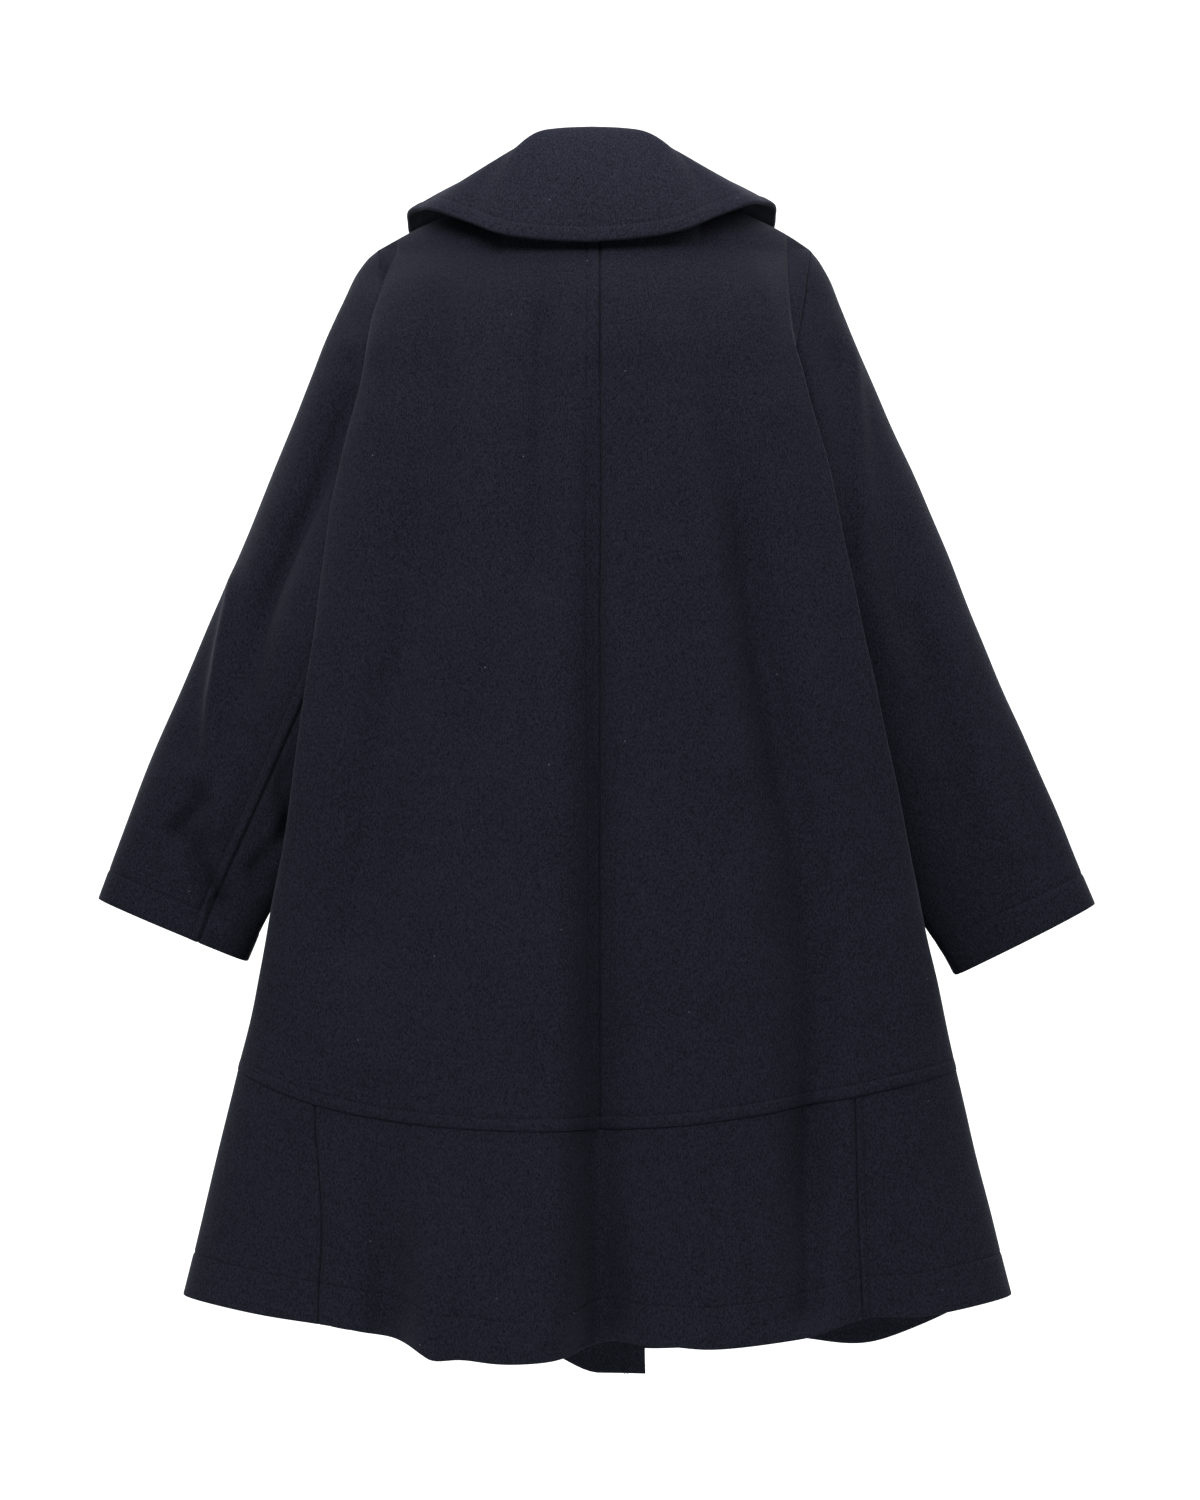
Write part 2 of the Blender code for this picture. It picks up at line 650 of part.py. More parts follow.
def sleeve_point(side, angle, along):
    """Point of a sleeve: angle from its outer edge by way of the back, along 0 to 1."""
    def size(column):
        return table_value(SLEEVE[side], "along", column, along)

    swing = math.cos(angle)
    x = mix(size("inner_x"), size("outer_x"), (1.0 + swing) / 2.0)
    z = mix(size("inner_z"), size("outer_z"), (1.0 + swing) / 2.0)
    half = size("back_half") if math.sin(angle) > 0.0 else size("front_half")
    full = SLEEVE_FULL_LEFT if side == LEFT else SLEEVE_FULL_RIGHT
    bow = abs(math.sin(angle))
    if swing > 0.0:
        bow **= mix(1.0, full, smooth(along / SLEEVE_CAP_FADE))
    y = size("middle_y") - half * math.copysign(bow, math.sin(angle))
    cap = SLEEVE[side][0]
    cap_z = mix(cap.inner_z, cap.outer_z, (1.0 + swing) / 2.0)
    straight = mix(cap.inner_x, cap.outer_x, (1.0 + swing) / 2.0)
    hollow = ring_xy(side, SIDE_STATION, cap_z)[0] + ARMHOLE_SEAM - straight
    x += hollow * (1.0 - smooth(along / SLEEVE_CAP_FADE))
    return Vector((side * x, y, z))


def sleeve_half(name, side, first, last):
    """Build one half of a sleeve between two of its seams."""
    step = math.pi / ARMHOLE_STEPS
    count = round((last - first) / step)
    outer = []
    inner = []
    for row in range(SLEEVE_ROWS + 1):
        along = (row / SLEEVE_ROWS) ** SLEEVE_ROW_SPREAD
        outer_row = []
        inner_row = []
        for column in range(count + 1):
            angle = first + step * column
            spot = sleeve_point(side, angle, along)
            normal = normal_at(sleeve_point, side, angle, min(along, 1.0 - ROW_STEP)) * side
            if row == 0:
                normal = flatten(normal, [AXIS_X])
            outer_row.append(spot)
            inner_row.append(spot - normal * CLOTH)
        outer.append(outer_row)
        inner.append(inner_row)
    draw_in(outer, inner, ["first", "last"], ARMHOLE_SEAM)
    return wall(name, outer, inner, WOOL)


def build_sleeves():
    turn = 2.0 * math.pi
    for side, name, seam in ((LEFT, "sleeve_left", SLEEVE_SEAM_LEFT),
                             (RIGHT, "sleeve_right", SLEEVE_SEAM_RIGHT)):
        sleeve_half(name + "_upper", side, SLEEVE_FRONT_SEAM - turn, seam)
        sleeve_half(name + "_under", side, seam, SLEEVE_FRONT_SEAM)


def bezier(start, leave, arrive, end, share):
    rest = 1.0 - share
    return (start * rest ** 3 + leave * 3.0 * rest * rest * share
            + arrive * 3.0 * rest * share * share + end * share ** 3)


def neck_seam(angle):
    """Point just above the body's neck line at an angle from the centre back."""
    y, z = neck_edge(abs(math.sin(angle)), abs(angle) > QUARTER)
    shrink = 1.0 - COLLAR_CLOTH / (NECK_HALF + NECK_BACK)
    return Vector((NECK_HALF * math.sin(angle) * shrink, y * shrink, z + COLLAR_SEAM))


def collar_point(side, angle, share):
    """Point of the collar, share 0 at the neck seam, 1 at the roll and 2 at the edge."""
    turn = math.degrees(abs(angle))
    way = 1.0 if angle >= 0.0 else -1.0

    def size(column):
        return table_value(COLLAR, "angle", column, turn)

    seam = neck_seam(angle)
    roll = Vector((way * size("roll_x") + COLLAR_SHIFT, size("roll_y"), size("roll_z")))
    edge = Vector((way * size("edge_x") + COLLAR_SHIFT, size("edge_y"), size("edge_z")))
    edge.z += COLLAR_LEAN * edge.x
    out = Vector((edge.x - roll.x, edge.y - roll.y, 0.0)).normalized()
    if share <= 1.0:
        rise = Vector((0.0, 0.0, STAND_RISE * (roll.z - seam.z)))
        return bezier(seam, seam + rise, roll - out * ROLL_HANDLE_IN, roll, share)
    lift = out * size("bulge") + Vector((0.0, 0.0, size("bulge")))
    arrive = edge + (roll - edge) * FALL_HANDLE + lift
    return bezier(roll, roll + out * ROLL_HANDLE_OUT, arrive, edge, share - 1.0)


def build_collar():
    turns = neck_angles()
    half = turns + [math.pi - angle for angle in reversed(turns[1:-1])]
    angles = [-angle for angle in reversed(half[1:])] + half
    shares = [step / STAND_STEPS for step in range(STAND_STEPS + 1)]
    shares += [1.0 + step / FALL_STEPS for step in range(1, FALL_STEPS + 1)]
    outer = []
    inner = []
    for share in shares:
        outer_row = []
        inner_row = []
        for angle in angles:
            spot = collar_point(RIGHT, angle, share)
            normal = normal_at(collar_point, RIGHT, angle, min(share, 2.0 - ROW_STEP))
            if share == 0.0:
                normal = flatten(normal, [AXIS_Z])
            outer_row.append(spot + normal * (COLLAR_CLOTH / 2.0))
            inner_row.append(spot - normal * (COLLAR_CLOTH / 2.0))
        outer.append(outer_row)
        inner.append(inner_row)
    return wall("collar", outer, inner, WOOL)


def build_buttons():
    """Two upright rows of dished buttons, seated on the upper front."""
    profile = [
        (0.0, 0.0),
        (BUTTON_RADIUS - BUTTON_EDGE, 0.0),
        (BUTTON_RADIUS, BUTTON_EDGE),
        (BUTTON_RADIUS, BUTTON_THICK - BUTTON_EDGE),
        (BUTTON_RADIUS - BUTTON_EDGE, BUTTON_THICK),
        (BUTTON_RADIUS - BUTTON_RIM, BUTTON_THICK),
        (BUTTON_RADIUS - BUTTON_RIM - BUTTON_EDGE, BUTTON_THICK - BUTTON_DISH),
        (0.0, BUTTON_THICK - BUTTON_DISH),
    ]
    for x, side_name in ((-BUTTON_COLUMN, "left"), (BUTTON_COLUMN, "right")):
        for row in range(BUTTON_ROWS):
            z = BUTTON_TOP_Z - BUTTON_PITCH * row
            station = station_at(RIGHT, abs(x), z, True)
            station = station if x > 0.0 else FULL_TURN - station
            z_top = top_edge(RIGHT, min(station, FRONT_STATION))[1]
            share = (z - z_top) / (BAND_SEAM_Z - z_top)
            normal = normal_at(body_point, RIGHT, station, share) * -1.0
            seat = body_point(RIGHT, station, share) + normal * BUTTON_SEAT
            builder = bmesh.new()
            points = [builder.verts.new((radius, 0.0, height)) for radius, height in profile]
            edges = [builder.edges.new(pair) for pair in zip(points, points[1:])]
            bmesh.ops.spin(builder, geom=points + edges, cent=(0.0, 0.0, 0.0), dvec=(0.0, 0.0, 0.0),
                           axis=(0.0, 0.0, 1.0), angle=2.0 * math.pi, steps=BUTTON_SIDES)
            bmesh.ops.remove_doubles(builder, verts=builder.verts, dist=MERGE)
            bmesh.ops.recalc_face_normals(builder, faces=builder.faces)
            thing = new_object(f"button_{side_name}_{row + 1}", builder, HORN)
            thing.rotation_euler = normal.to_track_quat("Z", "Y").to_euler()
            thing.location = seat


def main():
    for thing in list(bpy.data.objects):
        bpy.data.objects.remove(thing)
    build_backs()
    build_fronts()
    build_band_back()
    build_band_sides()
    build_sleeves()
    build_collar()
    build_buttons()


main()
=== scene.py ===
"""Looks of a double-breasted A-line wool coat, filled out and hollow, seen from behind.

Every cloth piece is a thin shell on the form of its CAD solid, with the sewn lines and the
creases of hanging wool worked into it.  Metres, +Z up, +X to the coat's right, back to -Y.
"""
import math
from collections import namedtuple
from functools import partial

import bmesh
import bpy
import numpy as np
from bpy.props import FloatProperty, FloatVectorProperty, PointerProperty
from bpy.types import Operator, Panel, PropertyGroup
from mathutils import Matrix, Vector


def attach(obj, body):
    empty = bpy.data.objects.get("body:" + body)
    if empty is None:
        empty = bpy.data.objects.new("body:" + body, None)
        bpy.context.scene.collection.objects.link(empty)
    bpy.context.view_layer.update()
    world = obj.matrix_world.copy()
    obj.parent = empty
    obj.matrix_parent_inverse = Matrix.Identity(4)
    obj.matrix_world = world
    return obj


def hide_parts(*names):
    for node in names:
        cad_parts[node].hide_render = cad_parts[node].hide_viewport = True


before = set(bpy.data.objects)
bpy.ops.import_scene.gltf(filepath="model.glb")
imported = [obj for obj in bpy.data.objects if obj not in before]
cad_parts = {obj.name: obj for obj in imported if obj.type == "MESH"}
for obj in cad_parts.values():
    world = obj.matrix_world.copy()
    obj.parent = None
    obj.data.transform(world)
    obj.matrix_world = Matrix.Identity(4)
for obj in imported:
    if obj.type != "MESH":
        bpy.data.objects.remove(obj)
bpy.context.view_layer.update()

bl_info = {
    "name": "Double-breasted coat",
    "version": (1, 0, 0),
    "blender": (4, 5, 0),
    "location": "3D View > Sidebar > Coat",
    "description": "Dresses the solids of a hollow A-line wool coat",
    "category": "Object",
}

LEFT = -1
RIGHT = 1
SIDES = {LEFT: "left", RIGHT: "right"}

# Cloth and seams
CLOTH = 0.0025
COLLAR_CLOTH = 0.004
ARMHOLE_SEAM = 0.0005
COLLAR_SEAM = 0.0005
BAND_SET_IN = 0.0010

# Neck and shoulders
NECK_HALF = 0.081
NECK_BACK = 0.058
NECK_FRONT = 0.075
NECK_POINT_Z = 0.004
NECK_BACK_DROP = 0.002
NECK_FRONT_DROP = 0.080
NECK_CURVE = 1.5
SHOULDER_HALF = 0.181
SHOULDER_SPREAD = {LEFT: 0.006, RIGHT: -0.003}
SHOULDER_SPREAD_DROP = 0.20
SHOULDER_Z = -0.037
SHOULDER_CROWN = 0.007
ROLL_BACK = 0.10
ROLL_FRONT = 0.11
ROLL_AT_ARMHOLE = 0.005

# Armholes and the turn of the cloth at the sides
UNDERARM_Z = -0.287
ARMHOLE_BACK = 0.055
ARMHOLE_FRONT = 0.058
SIDE_TURN = 0.6

# Hem band and the lift of the sides
BAND_SEAM_Z = -0.776
HEM_Z = -0.964
BODY_LENGTH = NECK_POINT_Z - BAND_SEAM_Z
BAND_LENGTH = BAND_SEAM_Z - HEM_Z
SIDE_LIFT = 0.045
LIFT_START_Z = -0.30
LIFT_SPAN = 0.40
LIFT_CURVE_SEAM = {LEFT: 1.7, RIGHT: 0.8}
LIFT_CURVE_HEM = 0.7
LIFT_CURVE_FRONT = {LEFT: 1.7, RIGHT: 2.4}
FRONT_DROP = 0.022
UNDERLAP_DROP = 0.022
UNDERLAP_HANG = 0.060
FOLD_HEM_RISE = 0.55

# Closing: how far each front passes the centre
OVERLAP = {LEFT: 0.040, RIGHT: 0.078}
UNDERLAP_GAP = 0.0022
UNDERLAP_NECK_GAP = 0.005
UNDERLAP_TUCK = 0.025
UNDERLAP_TUCK_LEAD = 1.4
UNDERLAP_FLAT = 0.03

# Upright seams of the hem band, as distances from the centre back at the seam and the hem
BAND_JOIN = {LEFT: (0.237, 0.233), RIGHT: (0.212, 0.218)}
JOIN_SWAY = {LEFT: 0.0045, RIGHT: 0.0008}

# Sleeve seams, as angles round the sleeve from its outer edge by way of the back
SLEEVE_SEAM = {LEFT: math.radians(112.5), RIGHT: math.radians(157.5)}
SLEEVE_FRONT_SEAM = math.radians(292.5)
SLEEVE_CAP_FADE = 0.30

# How the outer half of a sleeve fills out below its cap, 1 for a plain oval
SLEEVE_FULL = {LEFT: 0.82, RIGHT: 1.0}
SLEEVE_INNER_FULL = 0.62

# Rise of a sleeve where the fold of the back lies on it, and how far the rise reaches out
Rise = namedtuple("Rise", "z rise out")
SLEEVE_RISE = {
    LEFT: [
        Rise(-0.060, 0.004, 0.060), Rise(-0.100, 0.016, 0.070), Rise(-0.140, 0.020, 0.075),
        Rise(-0.180, 0.017, 0.080), Rise(-0.220, 0.014, 0.080), Rise(-0.260, 0.015, 0.080),
        Rise(-0.300, 0.020, 0.080), Rise(-0.340, 0.029, 0.075), Rise(-0.380, 0.033, 0.070),
        Rise(-0.420, 0.030, 0.065), Rise(-0.460, 0.025, 0.060), Rise(-0.520, 0.021, 0.060),
        Rise(-0.580, 0.018, 0.055), Rise(-0.650, 0.000, 0.050),
    ],
    RIGHT: [
        Rise(-0.080, 0.000, 0.050), Rise(-0.140, 0.012, 0.050), Rise(-0.220, 0.019, 0.050),
        Rise(-0.300, 0.024, 0.050), Rise(-0.340, 0.025, 0.050), Rise(-0.420, 0.020, 0.050),
        Rise(-0.460, 0.020, 0.055), Rise(-0.520, 0.022, 0.060), Rise(-0.580, 0.024, 0.060),
        Rise(-0.640, 0.014, 0.060), Rise(-0.700, 0.000, 0.060),
    ],
}
RISE_IN = 0.030
RISE_CURVE = 1.5

# How far the folds at the sides of the back stand up over the sleeves, and over what share of the back
FoldEdge = namedtuple("FoldEdge", "z press wide")
FOLD_EDGE = {
    LEFT: [
        FoldEdge(-0.060, 0.000, 0.30), FoldEdge(-0.120, -0.004, 0.30), FoldEdge(-0.170, -0.011, 0.30),
        FoldEdge(-0.250, -0.013, 0.30), FoldEdge(-0.300, -0.010, 0.28), FoldEdge(-0.350, -0.002, 0.20),
        FoldEdge(-0.400, 0.0025, 0.12), FoldEdge(-0.560, 0.0025, 0.12), FoldEdge(-0.620, 0.000, 0.12),
    ],
    RIGHT: [
        FoldEdge(-0.060, 0.000, 0.12), FoldEdge(-0.120, 0.005, 0.12), FoldEdge(-0.560, 0.005, 0.12),
        FoldEdge(-0.620, 0.000, 0.12),
    ],
}

# Stations round the body, from the centre back by way of the side; the front starts a hair past it
BACK_FOLD_STATION = 1.0
SIDE_STATION = 2.0
FRONT_SIDE_STATION = 2.000001
FRONT_FOLD_STATION = 3.0
FRONT_STATION = 4.0
FULL_TURN = 8.0
QUARTER = math.pi / 2.0
STATION_STEP = 1e-3
SHARE_STEP = 1e-3
TINY = 1e-12
AXIS_X, AXIS_Y, AXIS_Z = range(3)

# A distance out of reach of every sewn line
FAR = 1.0

# Sections of the body from the shoulders to the hem
BodyRow = namedtuple("BodyRow", "z back_depth ridge_left ridge_right ridge_depth"
                                " side_half front_depth front_ridge front_ridge_depth")
BODY = [
    BodyRow(-0.040, 0.080, 0.166, 0.160, 0.030, 0.181, 0.088, 0.164, 0.030),
    BodyRow(-0.090, 0.103, 0.184, 0.161, 0.060, 0.173, 0.106, 0.166, 0.060),
    BodyRow(-0.150, 0.116, 0.197, 0.172, 0.074, 0.162, 0.122, 0.172, 0.074),
    BodyRow(-0.220, 0.123, 0.218, 0.190, 0.081, 0.158, 0.132, 0.190, 0.081),
    BodyRow(-0.290, 0.127, 0.231, 0.204, 0.085, 0.165, 0.137, 0.204, 0.084),
    BodyRow(-0.360, 0.131, 0.239, 0.218, 0.087, 0.163, 0.140, 0.216, 0.086),
    BodyRow(-0.430, 0.135, 0.249, 0.232, 0.087, 0.176, 0.142, 0.228, 0.086),
    BodyRow(-0.540, 0.142, 0.260, 0.252, 0.082, 0.210, 0.146, 0.248, 0.082),
    BodyRow(-0.630, 0.148, 0.274, 0.267, 0.074, 0.250, 0.149, 0.264, 0.074),
    BodyRow(-0.700, 0.153, 0.285, 0.282, 0.068, 0.275, 0.152, 0.280, 0.068),
    BodyRow(-0.776, 0.158, 0.304, 0.300, 0.063, 0.296, 0.155, 0.299, 0.063),
    BodyRow(-0.964, 0.168, 0.351, 0.346, 0.060, 0.342, 0.163, 0.345, 0.060),
]

# Folds run from a high point to a low one; a positive depth stands out from the coat
Fold = namedtuple("Fold", "x_high z_high x_low z_low wide_high wide_low depth_high depth_low")
BACK_FOLDS = [
    Fold(-0.006, -0.220, 0.004, -0.964, 0.012, 0.026, -0.003, -0.023),
    Fold(-0.032, -0.240, -0.090, -0.964, 0.020, 0.055, 0.002, 0.015),
    Fold(0.030, -0.480, 0.046, -0.964, 0.030, 0.035, -0.001, -0.012),
    Fold(-0.126, -0.800, -0.137, -0.964, 0.016, 0.018, 0.001, 0.012),
    Fold(0.103, -0.090, 0.172, -0.700, 0.020, 0.026, -0.006, -0.014),
    Fold(0.196, -0.320, 0.232, -0.700, 0.016, 0.018, -0.004, -0.006),
    Fold(-0.046, -0.120, -0.048, -0.340, 0.014, 0.014, -0.004, -0.001),
    Fold(-0.150, -0.130, -0.190, -0.520, 0.022, 0.028, -0.006, -0.005),
    Fold(-0.195, -0.800, -0.225, -0.964, 0.022, 0.044, -0.001, -0.004),
    Fold(0.205, -0.760, 0.224, -0.964, 0.030, 0.033, -0.002, -0.016),
]
FRONT_FOLDS = [
    Fold(0.110, -0.300, 0.165, -0.964, 0.024, 0.036, -0.004, -0.018),
    Fold(-0.120, -0.280, -0.180, -0.964, 0.024, 0.036, -0.004, -0.016),
    Fold(0.205, -0.650, 0.240, -0.964, 0.022, 0.034, 0.001, 0.010),
    Fold(-0.225, -0.650, -0.255, -0.964, 0.022, 0.034, -0.001, -0.008),
]
FOLD_FADE = 0.08
FOLD_SIDE_FADE = 2

# Sleeve sections from the armhole to the cuff, each an oval between its two edges
SleeveRow = namedtuple("SleeveRow", "along outer_x outer_z inner_x inner_z"
                                    " back_half front_half middle_y")
SLEEVE = {
    LEFT: [
        SleeveRow(0.00, 0.1870, SHOULDER_Z, 0.1650, UNDERARM_Z, ARMHOLE_BACK, ARMHOLE_FRONT, 0.000),
        SleeveRow(0.05, 0.2005, -0.0510, 0.1660, -0.3000, 0.052, 0.055, 0.000),
        SleeveRow(0.12, 0.2155, -0.0820, 0.1680, -0.3150, 0.052, 0.053, 0.000),
        SleeveRow(0.30, 0.2600, -0.1850, 0.1770, -0.3550, 0.060, 0.055, 0.002),
        SleeveRow(0.50, 0.3040, -0.2880, 0.2050, -0.4200, 0.061, 0.055, 0.006),
        SleeveRow(0.70, 0.3545, -0.4070, 0.2410, -0.5100, 0.054, 0.052, 0.010),
        SleeveRow(0.88, 0.4000, -0.5180, 0.2790, -0.5910, 0.043, 0.045, 0.013),
        SleeveRow(1.00, 0.4270, -0.5890, 0.3015, -0.6415, 0.038, 0.040, 0.015),
    ],
    RIGHT: [
        SleeveRow(0.00, 0.1780, SHOULDER_Z, 0.1650, UNDERARM_Z, ARMHOLE_BACK, ARMHOLE_FRONT, 0.000),
        SleeveRow(0.05, 0.1900, -0.0530, 0.1660, -0.3000, 0.052, 0.055, 0.000),
        SleeveRow(0.12, 0.2040, -0.0840, 0.1670, -0.3150, 0.050, 0.053, 0.000),
        SleeveRow(0.30, 0.2475, -0.1850, 0.1740, -0.3520, 0.050, 0.055, 0.002),
        SleeveRow(0.50, 0.2935, -0.2880, 0.2000, -0.4200, 0.049, 0.053, 0.006),
        SleeveRow(0.70, 0.3420, -0.4070, 0.2370, -0.5100, 0.045, 0.048, 0.010),
        SleeveRow(0.88, 0.3915, -0.5180, 0.2720, -0.5930, 0.040, 0.042, 0.013),
        SleeveRow(1.00, 0.4230, -0.5930, 0.3030, -0.6530, 0.038, 0.040, 0.015),
    ],
}

# Collar sections by the angle round the neck from the centre back
CollarRow = namedtuple("CollarRow", "angle roll_x roll_y roll_z edge_x edge_y edge_z bulge")
COLLAR = [
    CollarRow(0, 0.000, -0.058, 0.060, 0.000, -0.091, -0.038, 0.011),
    CollarRow(25, 0.032, -0.056, 0.0585, 0.056, -0.086, -0.033, 0.009),
    CollarRow(50, 0.058, -0.050, 0.045, 0.106, -0.064, -0.016, 0.005),
    CollarRow(75, 0.077, -0.022, 0.032, 0.146, -0.022, -0.002, 0.003),
    CollarRow(95, 0.085, 0.012, 0.024, 0.157, 0.026, -0.009, 0.004),
    CollarRow(120, 0.080, 0.052, 0.004, 0.146, 0.090, -0.044, 0.008),
    CollarRow(145, 0.056, 0.078, -0.028, 0.112, 0.126, -0.090, 0.010),
    CollarRow(162, 0.030, 0.090, -0.048, 0.070, 0.134, -0.100, 0.008),
]
COLLAR_END = math.radians(COLLAR[-1].angle)
COLLAR_EDGE = 2.0
COLLAR_SHIFT = -0.007
COLLAR_LEAN = 0.018
STAND_RISE = 0.6
ROLL_HANDLE_IN = 0.007
ROLL_HANDLE_OUT = 0.014
FALL_HANDLE = 0.40

# Creases of the hung wool
Mark = namedtuple("Mark", "z x wide depth")


def crease(*marks):
    """A path of marks from the top of a crease to its low end."""
    return [Mark(*mark) for mark in marks]


BACK_CREASES = (
    crease((-0.050, 0.052, 0.006, -0.0012), (-0.140, 0.056, 0.009, -0.0010)),
    crease((-0.066, 0.074, 0.012, -0.0025), (-0.256, 0.111, 0.017, -0.0085),
           (-0.371, 0.132, 0.020, -0.0145), (-0.507, 0.159, 0.022, -0.0170),
           (-0.608, 0.177, 0.022, -0.0165), (-0.716, 0.183, 0.020, -0.0145),
           (-0.811, 0.173, 0.016, -0.0170), (-0.940, 0.172, 0.016, -0.0190)),
    crease((-0.120, 0.062, 0.018, 0.0020), (-0.480, 0.112, 0.022, 0.0030)),
    crease((-0.070, 0.138, 0.012, 0.0040), (-0.170, 0.150, 0.014, 0.0025)),
    crease((-0.360, 0.205, 0.010, -0.0030), (-0.620, 0.240, 0.012, -0.0025)),
    crease((-0.150, -0.004, 0.006, -0.0020), (-0.500, -0.003, 0.010, -0.0060),
           (-0.776, -0.003, 0.014, -0.0095), (-0.950, -0.002, 0.020, -0.0195)),
    crease((-0.140, -0.030, 0.020, 0.0025), (-0.500, -0.034, 0.026, 0.0065),
           (-0.776, -0.042, 0.032, 0.0080), (-0.950, -0.046, 0.032, 0.0100)),
    crease((-0.300, 0.048, 0.022, 0.0020), (-0.620, 0.054, 0.026, 0.0065), (-0.950, 0.084, 0.030, 0.0085)),
    crease((-0.115, -0.048, 0.009, -0.0045), (-0.320, -0.050, 0.010, -0.0040)),
    crease((-0.090, -0.138, 0.014, -0.0060), (-0.270, -0.146, 0.018, -0.0085),
           (-0.450, -0.175, 0.022, -0.0105), (-0.640, -0.205, 0.024, -0.0090)),
    crease((-0.150, -0.098, 0.016, 0.0025), (-0.420, -0.108, 0.022, 0.0030)),
    crease((-0.800, -0.142, 0.012, 0.0020), (-0.970, -0.146, 0.012, 0.0100)),
    crease((-0.760, -0.178, 0.018, -0.0060), (-0.970, -0.176, 0.016, -0.0180)),
    crease((-0.645, 0.276, 0.003, -0.0010), (-0.712, 0.277, 0.003, -0.0010)),
    crease((-0.655, -0.281, 0.003, -0.0010), (-0.712, -0.282, 0.003, -0.0010)),
)
FRONT_CREASES = (
    crease((-0.260, 0.096, 0.014, -0.0040), (-0.700, 0.128, 0.020, -0.0100)),
    crease((-0.200, 0.150, 0.014, -0.0050), (-0.560, 0.196, 0.020, -0.0070)),
    crease((-0.520, 0.040, 0.016, -0.0020), (-0.940, 0.052, 0.024, -0.0095)),
    crease((-0.240, -0.104, 0.014, -0.0045), (-0.660, -0.140, 0.020, -0.0110)),
    crease((-0.190, -0.156, 0.014, -0.0050), (-0.540, -0.204, 0.020, -0.0060)),
    crease((-0.640, -0.100, 0.016, -0.0020), (-0.940, -0.112, 0.024, -0.0090)),
)
SLEEVE_CREASES = {
    LEFT: (
        crease((-0.150, -0.204, 0.009, -0.0060), (-0.202, -0.221, 0.012, -0.0160),
               (-0.252, -0.240, 0.013, -0.0190), (-0.299, -0.262, 0.013, -0.0190),
               (-0.384, -0.290, 0.013, -0.0120), (-0.440, -0.300, 0.012, -0.0030)),
        crease((-0.325, -0.313, 0.006, 0.0040), (-0.392, -0.325, 0.006, 0.0048),
               (-0.440, -0.331, 0.006, 0.0040), (-0.505, -0.332, 0.008, 0.0012)),
        crease((-0.340, -0.330, 0.012, -0.0060), (-0.460, -0.350, 0.014, -0.0060)),
        crease((-0.508, -0.340, 0.009, -0.0105), (-0.528, -0.358, 0.009, -0.0120)),
        crease((-0.555, -0.342, 0.009, -0.0095), (-0.588, -0.324, 0.010, -0.0130)),
        crease((-0.440, -0.296, 0.010, 0.0040), (-0.520, -0.318, 0.012, 0.0045)),
        crease((-0.490, -0.268, 0.009, -0.0080), (-0.525, -0.262, 0.010, -0.0105)),
        crease((-0.512, -0.258, 0.007, -0.0050), (-0.560, -0.292, 0.007, -0.0065)),
        crease((-0.545, -0.276, 0.010, 0.0040), (-0.590, -0.266, 0.012, 0.0030)),
    ),
    RIGHT: (
        crease((-0.130, 0.215, 0.007, 0.0030), (-0.302, 0.226, 0.009, 0.0035),
               (-0.420, 0.262, 0.012, 0.0005)),
        crease((-0.140, 0.198, 0.010, -0.0040), (-0.300, 0.208, 0.012, -0.0050)),
        crease((-0.360, 0.268, 0.013, -0.0025), (-0.530, 0.316, 0.015, -0.0030)),
        crease((-0.360, 0.290, 0.014, 0.0020), (-0.540, 0.342, 0.016, 0.0025)),
        crease((-0.470, 0.350, 0.010, -0.0010), (-0.560, 0.374, 0.012, -0.0020)),
    ),
}
SLEEVE_FRONT_CREASES = (
    crease((-0.160, 0.205, 0.013, -0.0050), (-0.330, 0.262, 0.015, -0.0065)),
    crease((-0.300, 0.250, 0.012, 0.0025), (-0.470, 0.316, 0.014, 0.0045)),
    crease((-0.350, 0.292, 0.011, -0.0040), (-0.520, 0.352, 0.013, -0.0055)),
)
CREASE_FADE = 0.03
CREASE_SIDE_FADE = 4

# Waves of unevenness that no pressing takes out: waves per metre across and up, start and height
Wave = namedtuple("Wave", "across up turn height")
UNEVEN = [
    Wave(3.1, 1.3, 0.4, 0.0007),
    Wave(5.3, -2.2, 1.9, 0.0005),
    Wave(8.7, 4.1, 3.3, 0.0003),
    Wave(13.9, -7.7, 5.1, 0.0002),
]

# Sewn lines
TOPSTITCH = 0.011
COLLAR_TOPSTITCH = 0.013
EDGE_TOPSTITCH = 0.016
JOIN_TOPSTITCH = 0.0065
CUFF_HEM = 0.027
HEM_DEPTH = 0.036
INNER_HEM = 0.009
FACING_EDGE = 0.018
SLEEVE_TOPSTITCH = 0.007
SLEEVE_SEWN = 1.8
COLLAR_SEWN = 0.4
COLLAR_ROLL_EDGE = 0.0007
COLLAR_STITCH_TOP = 1.15
SEAM_DIP = 0.0022
SEAM_DIP_WIDE = 0.0009
SIDE_DIP = 0.3
SEAM_ROLL = 0.0003
SEAM_ROLL_AT = 0.004
SEAM_PUFF = 0.0005
SEAM_LIP = 0.0003
SEAM_EASE = 0.3
SEAM_EASE_CURVE = 6
GROOVE = 0.00045
GROOVE_WIDE = 0.0012
PUCKER = 0.45
PUCKER_WAVES = (31.0, 53.0, 97.0)
COLLAR_PUCKER = 1.5
EDGE_ROUND = 0.0016
EDGE_LEFT = 0.08
SEW_OFFSETS = (0.0, 0.0006, 0.0013, 0.0024, 0.0040)
EDGE_OFFSETS = (0.0002, 0.0006, 0.0011, 0.0018, 0.0030, 0.0050)
MARK_DIGITS = 6

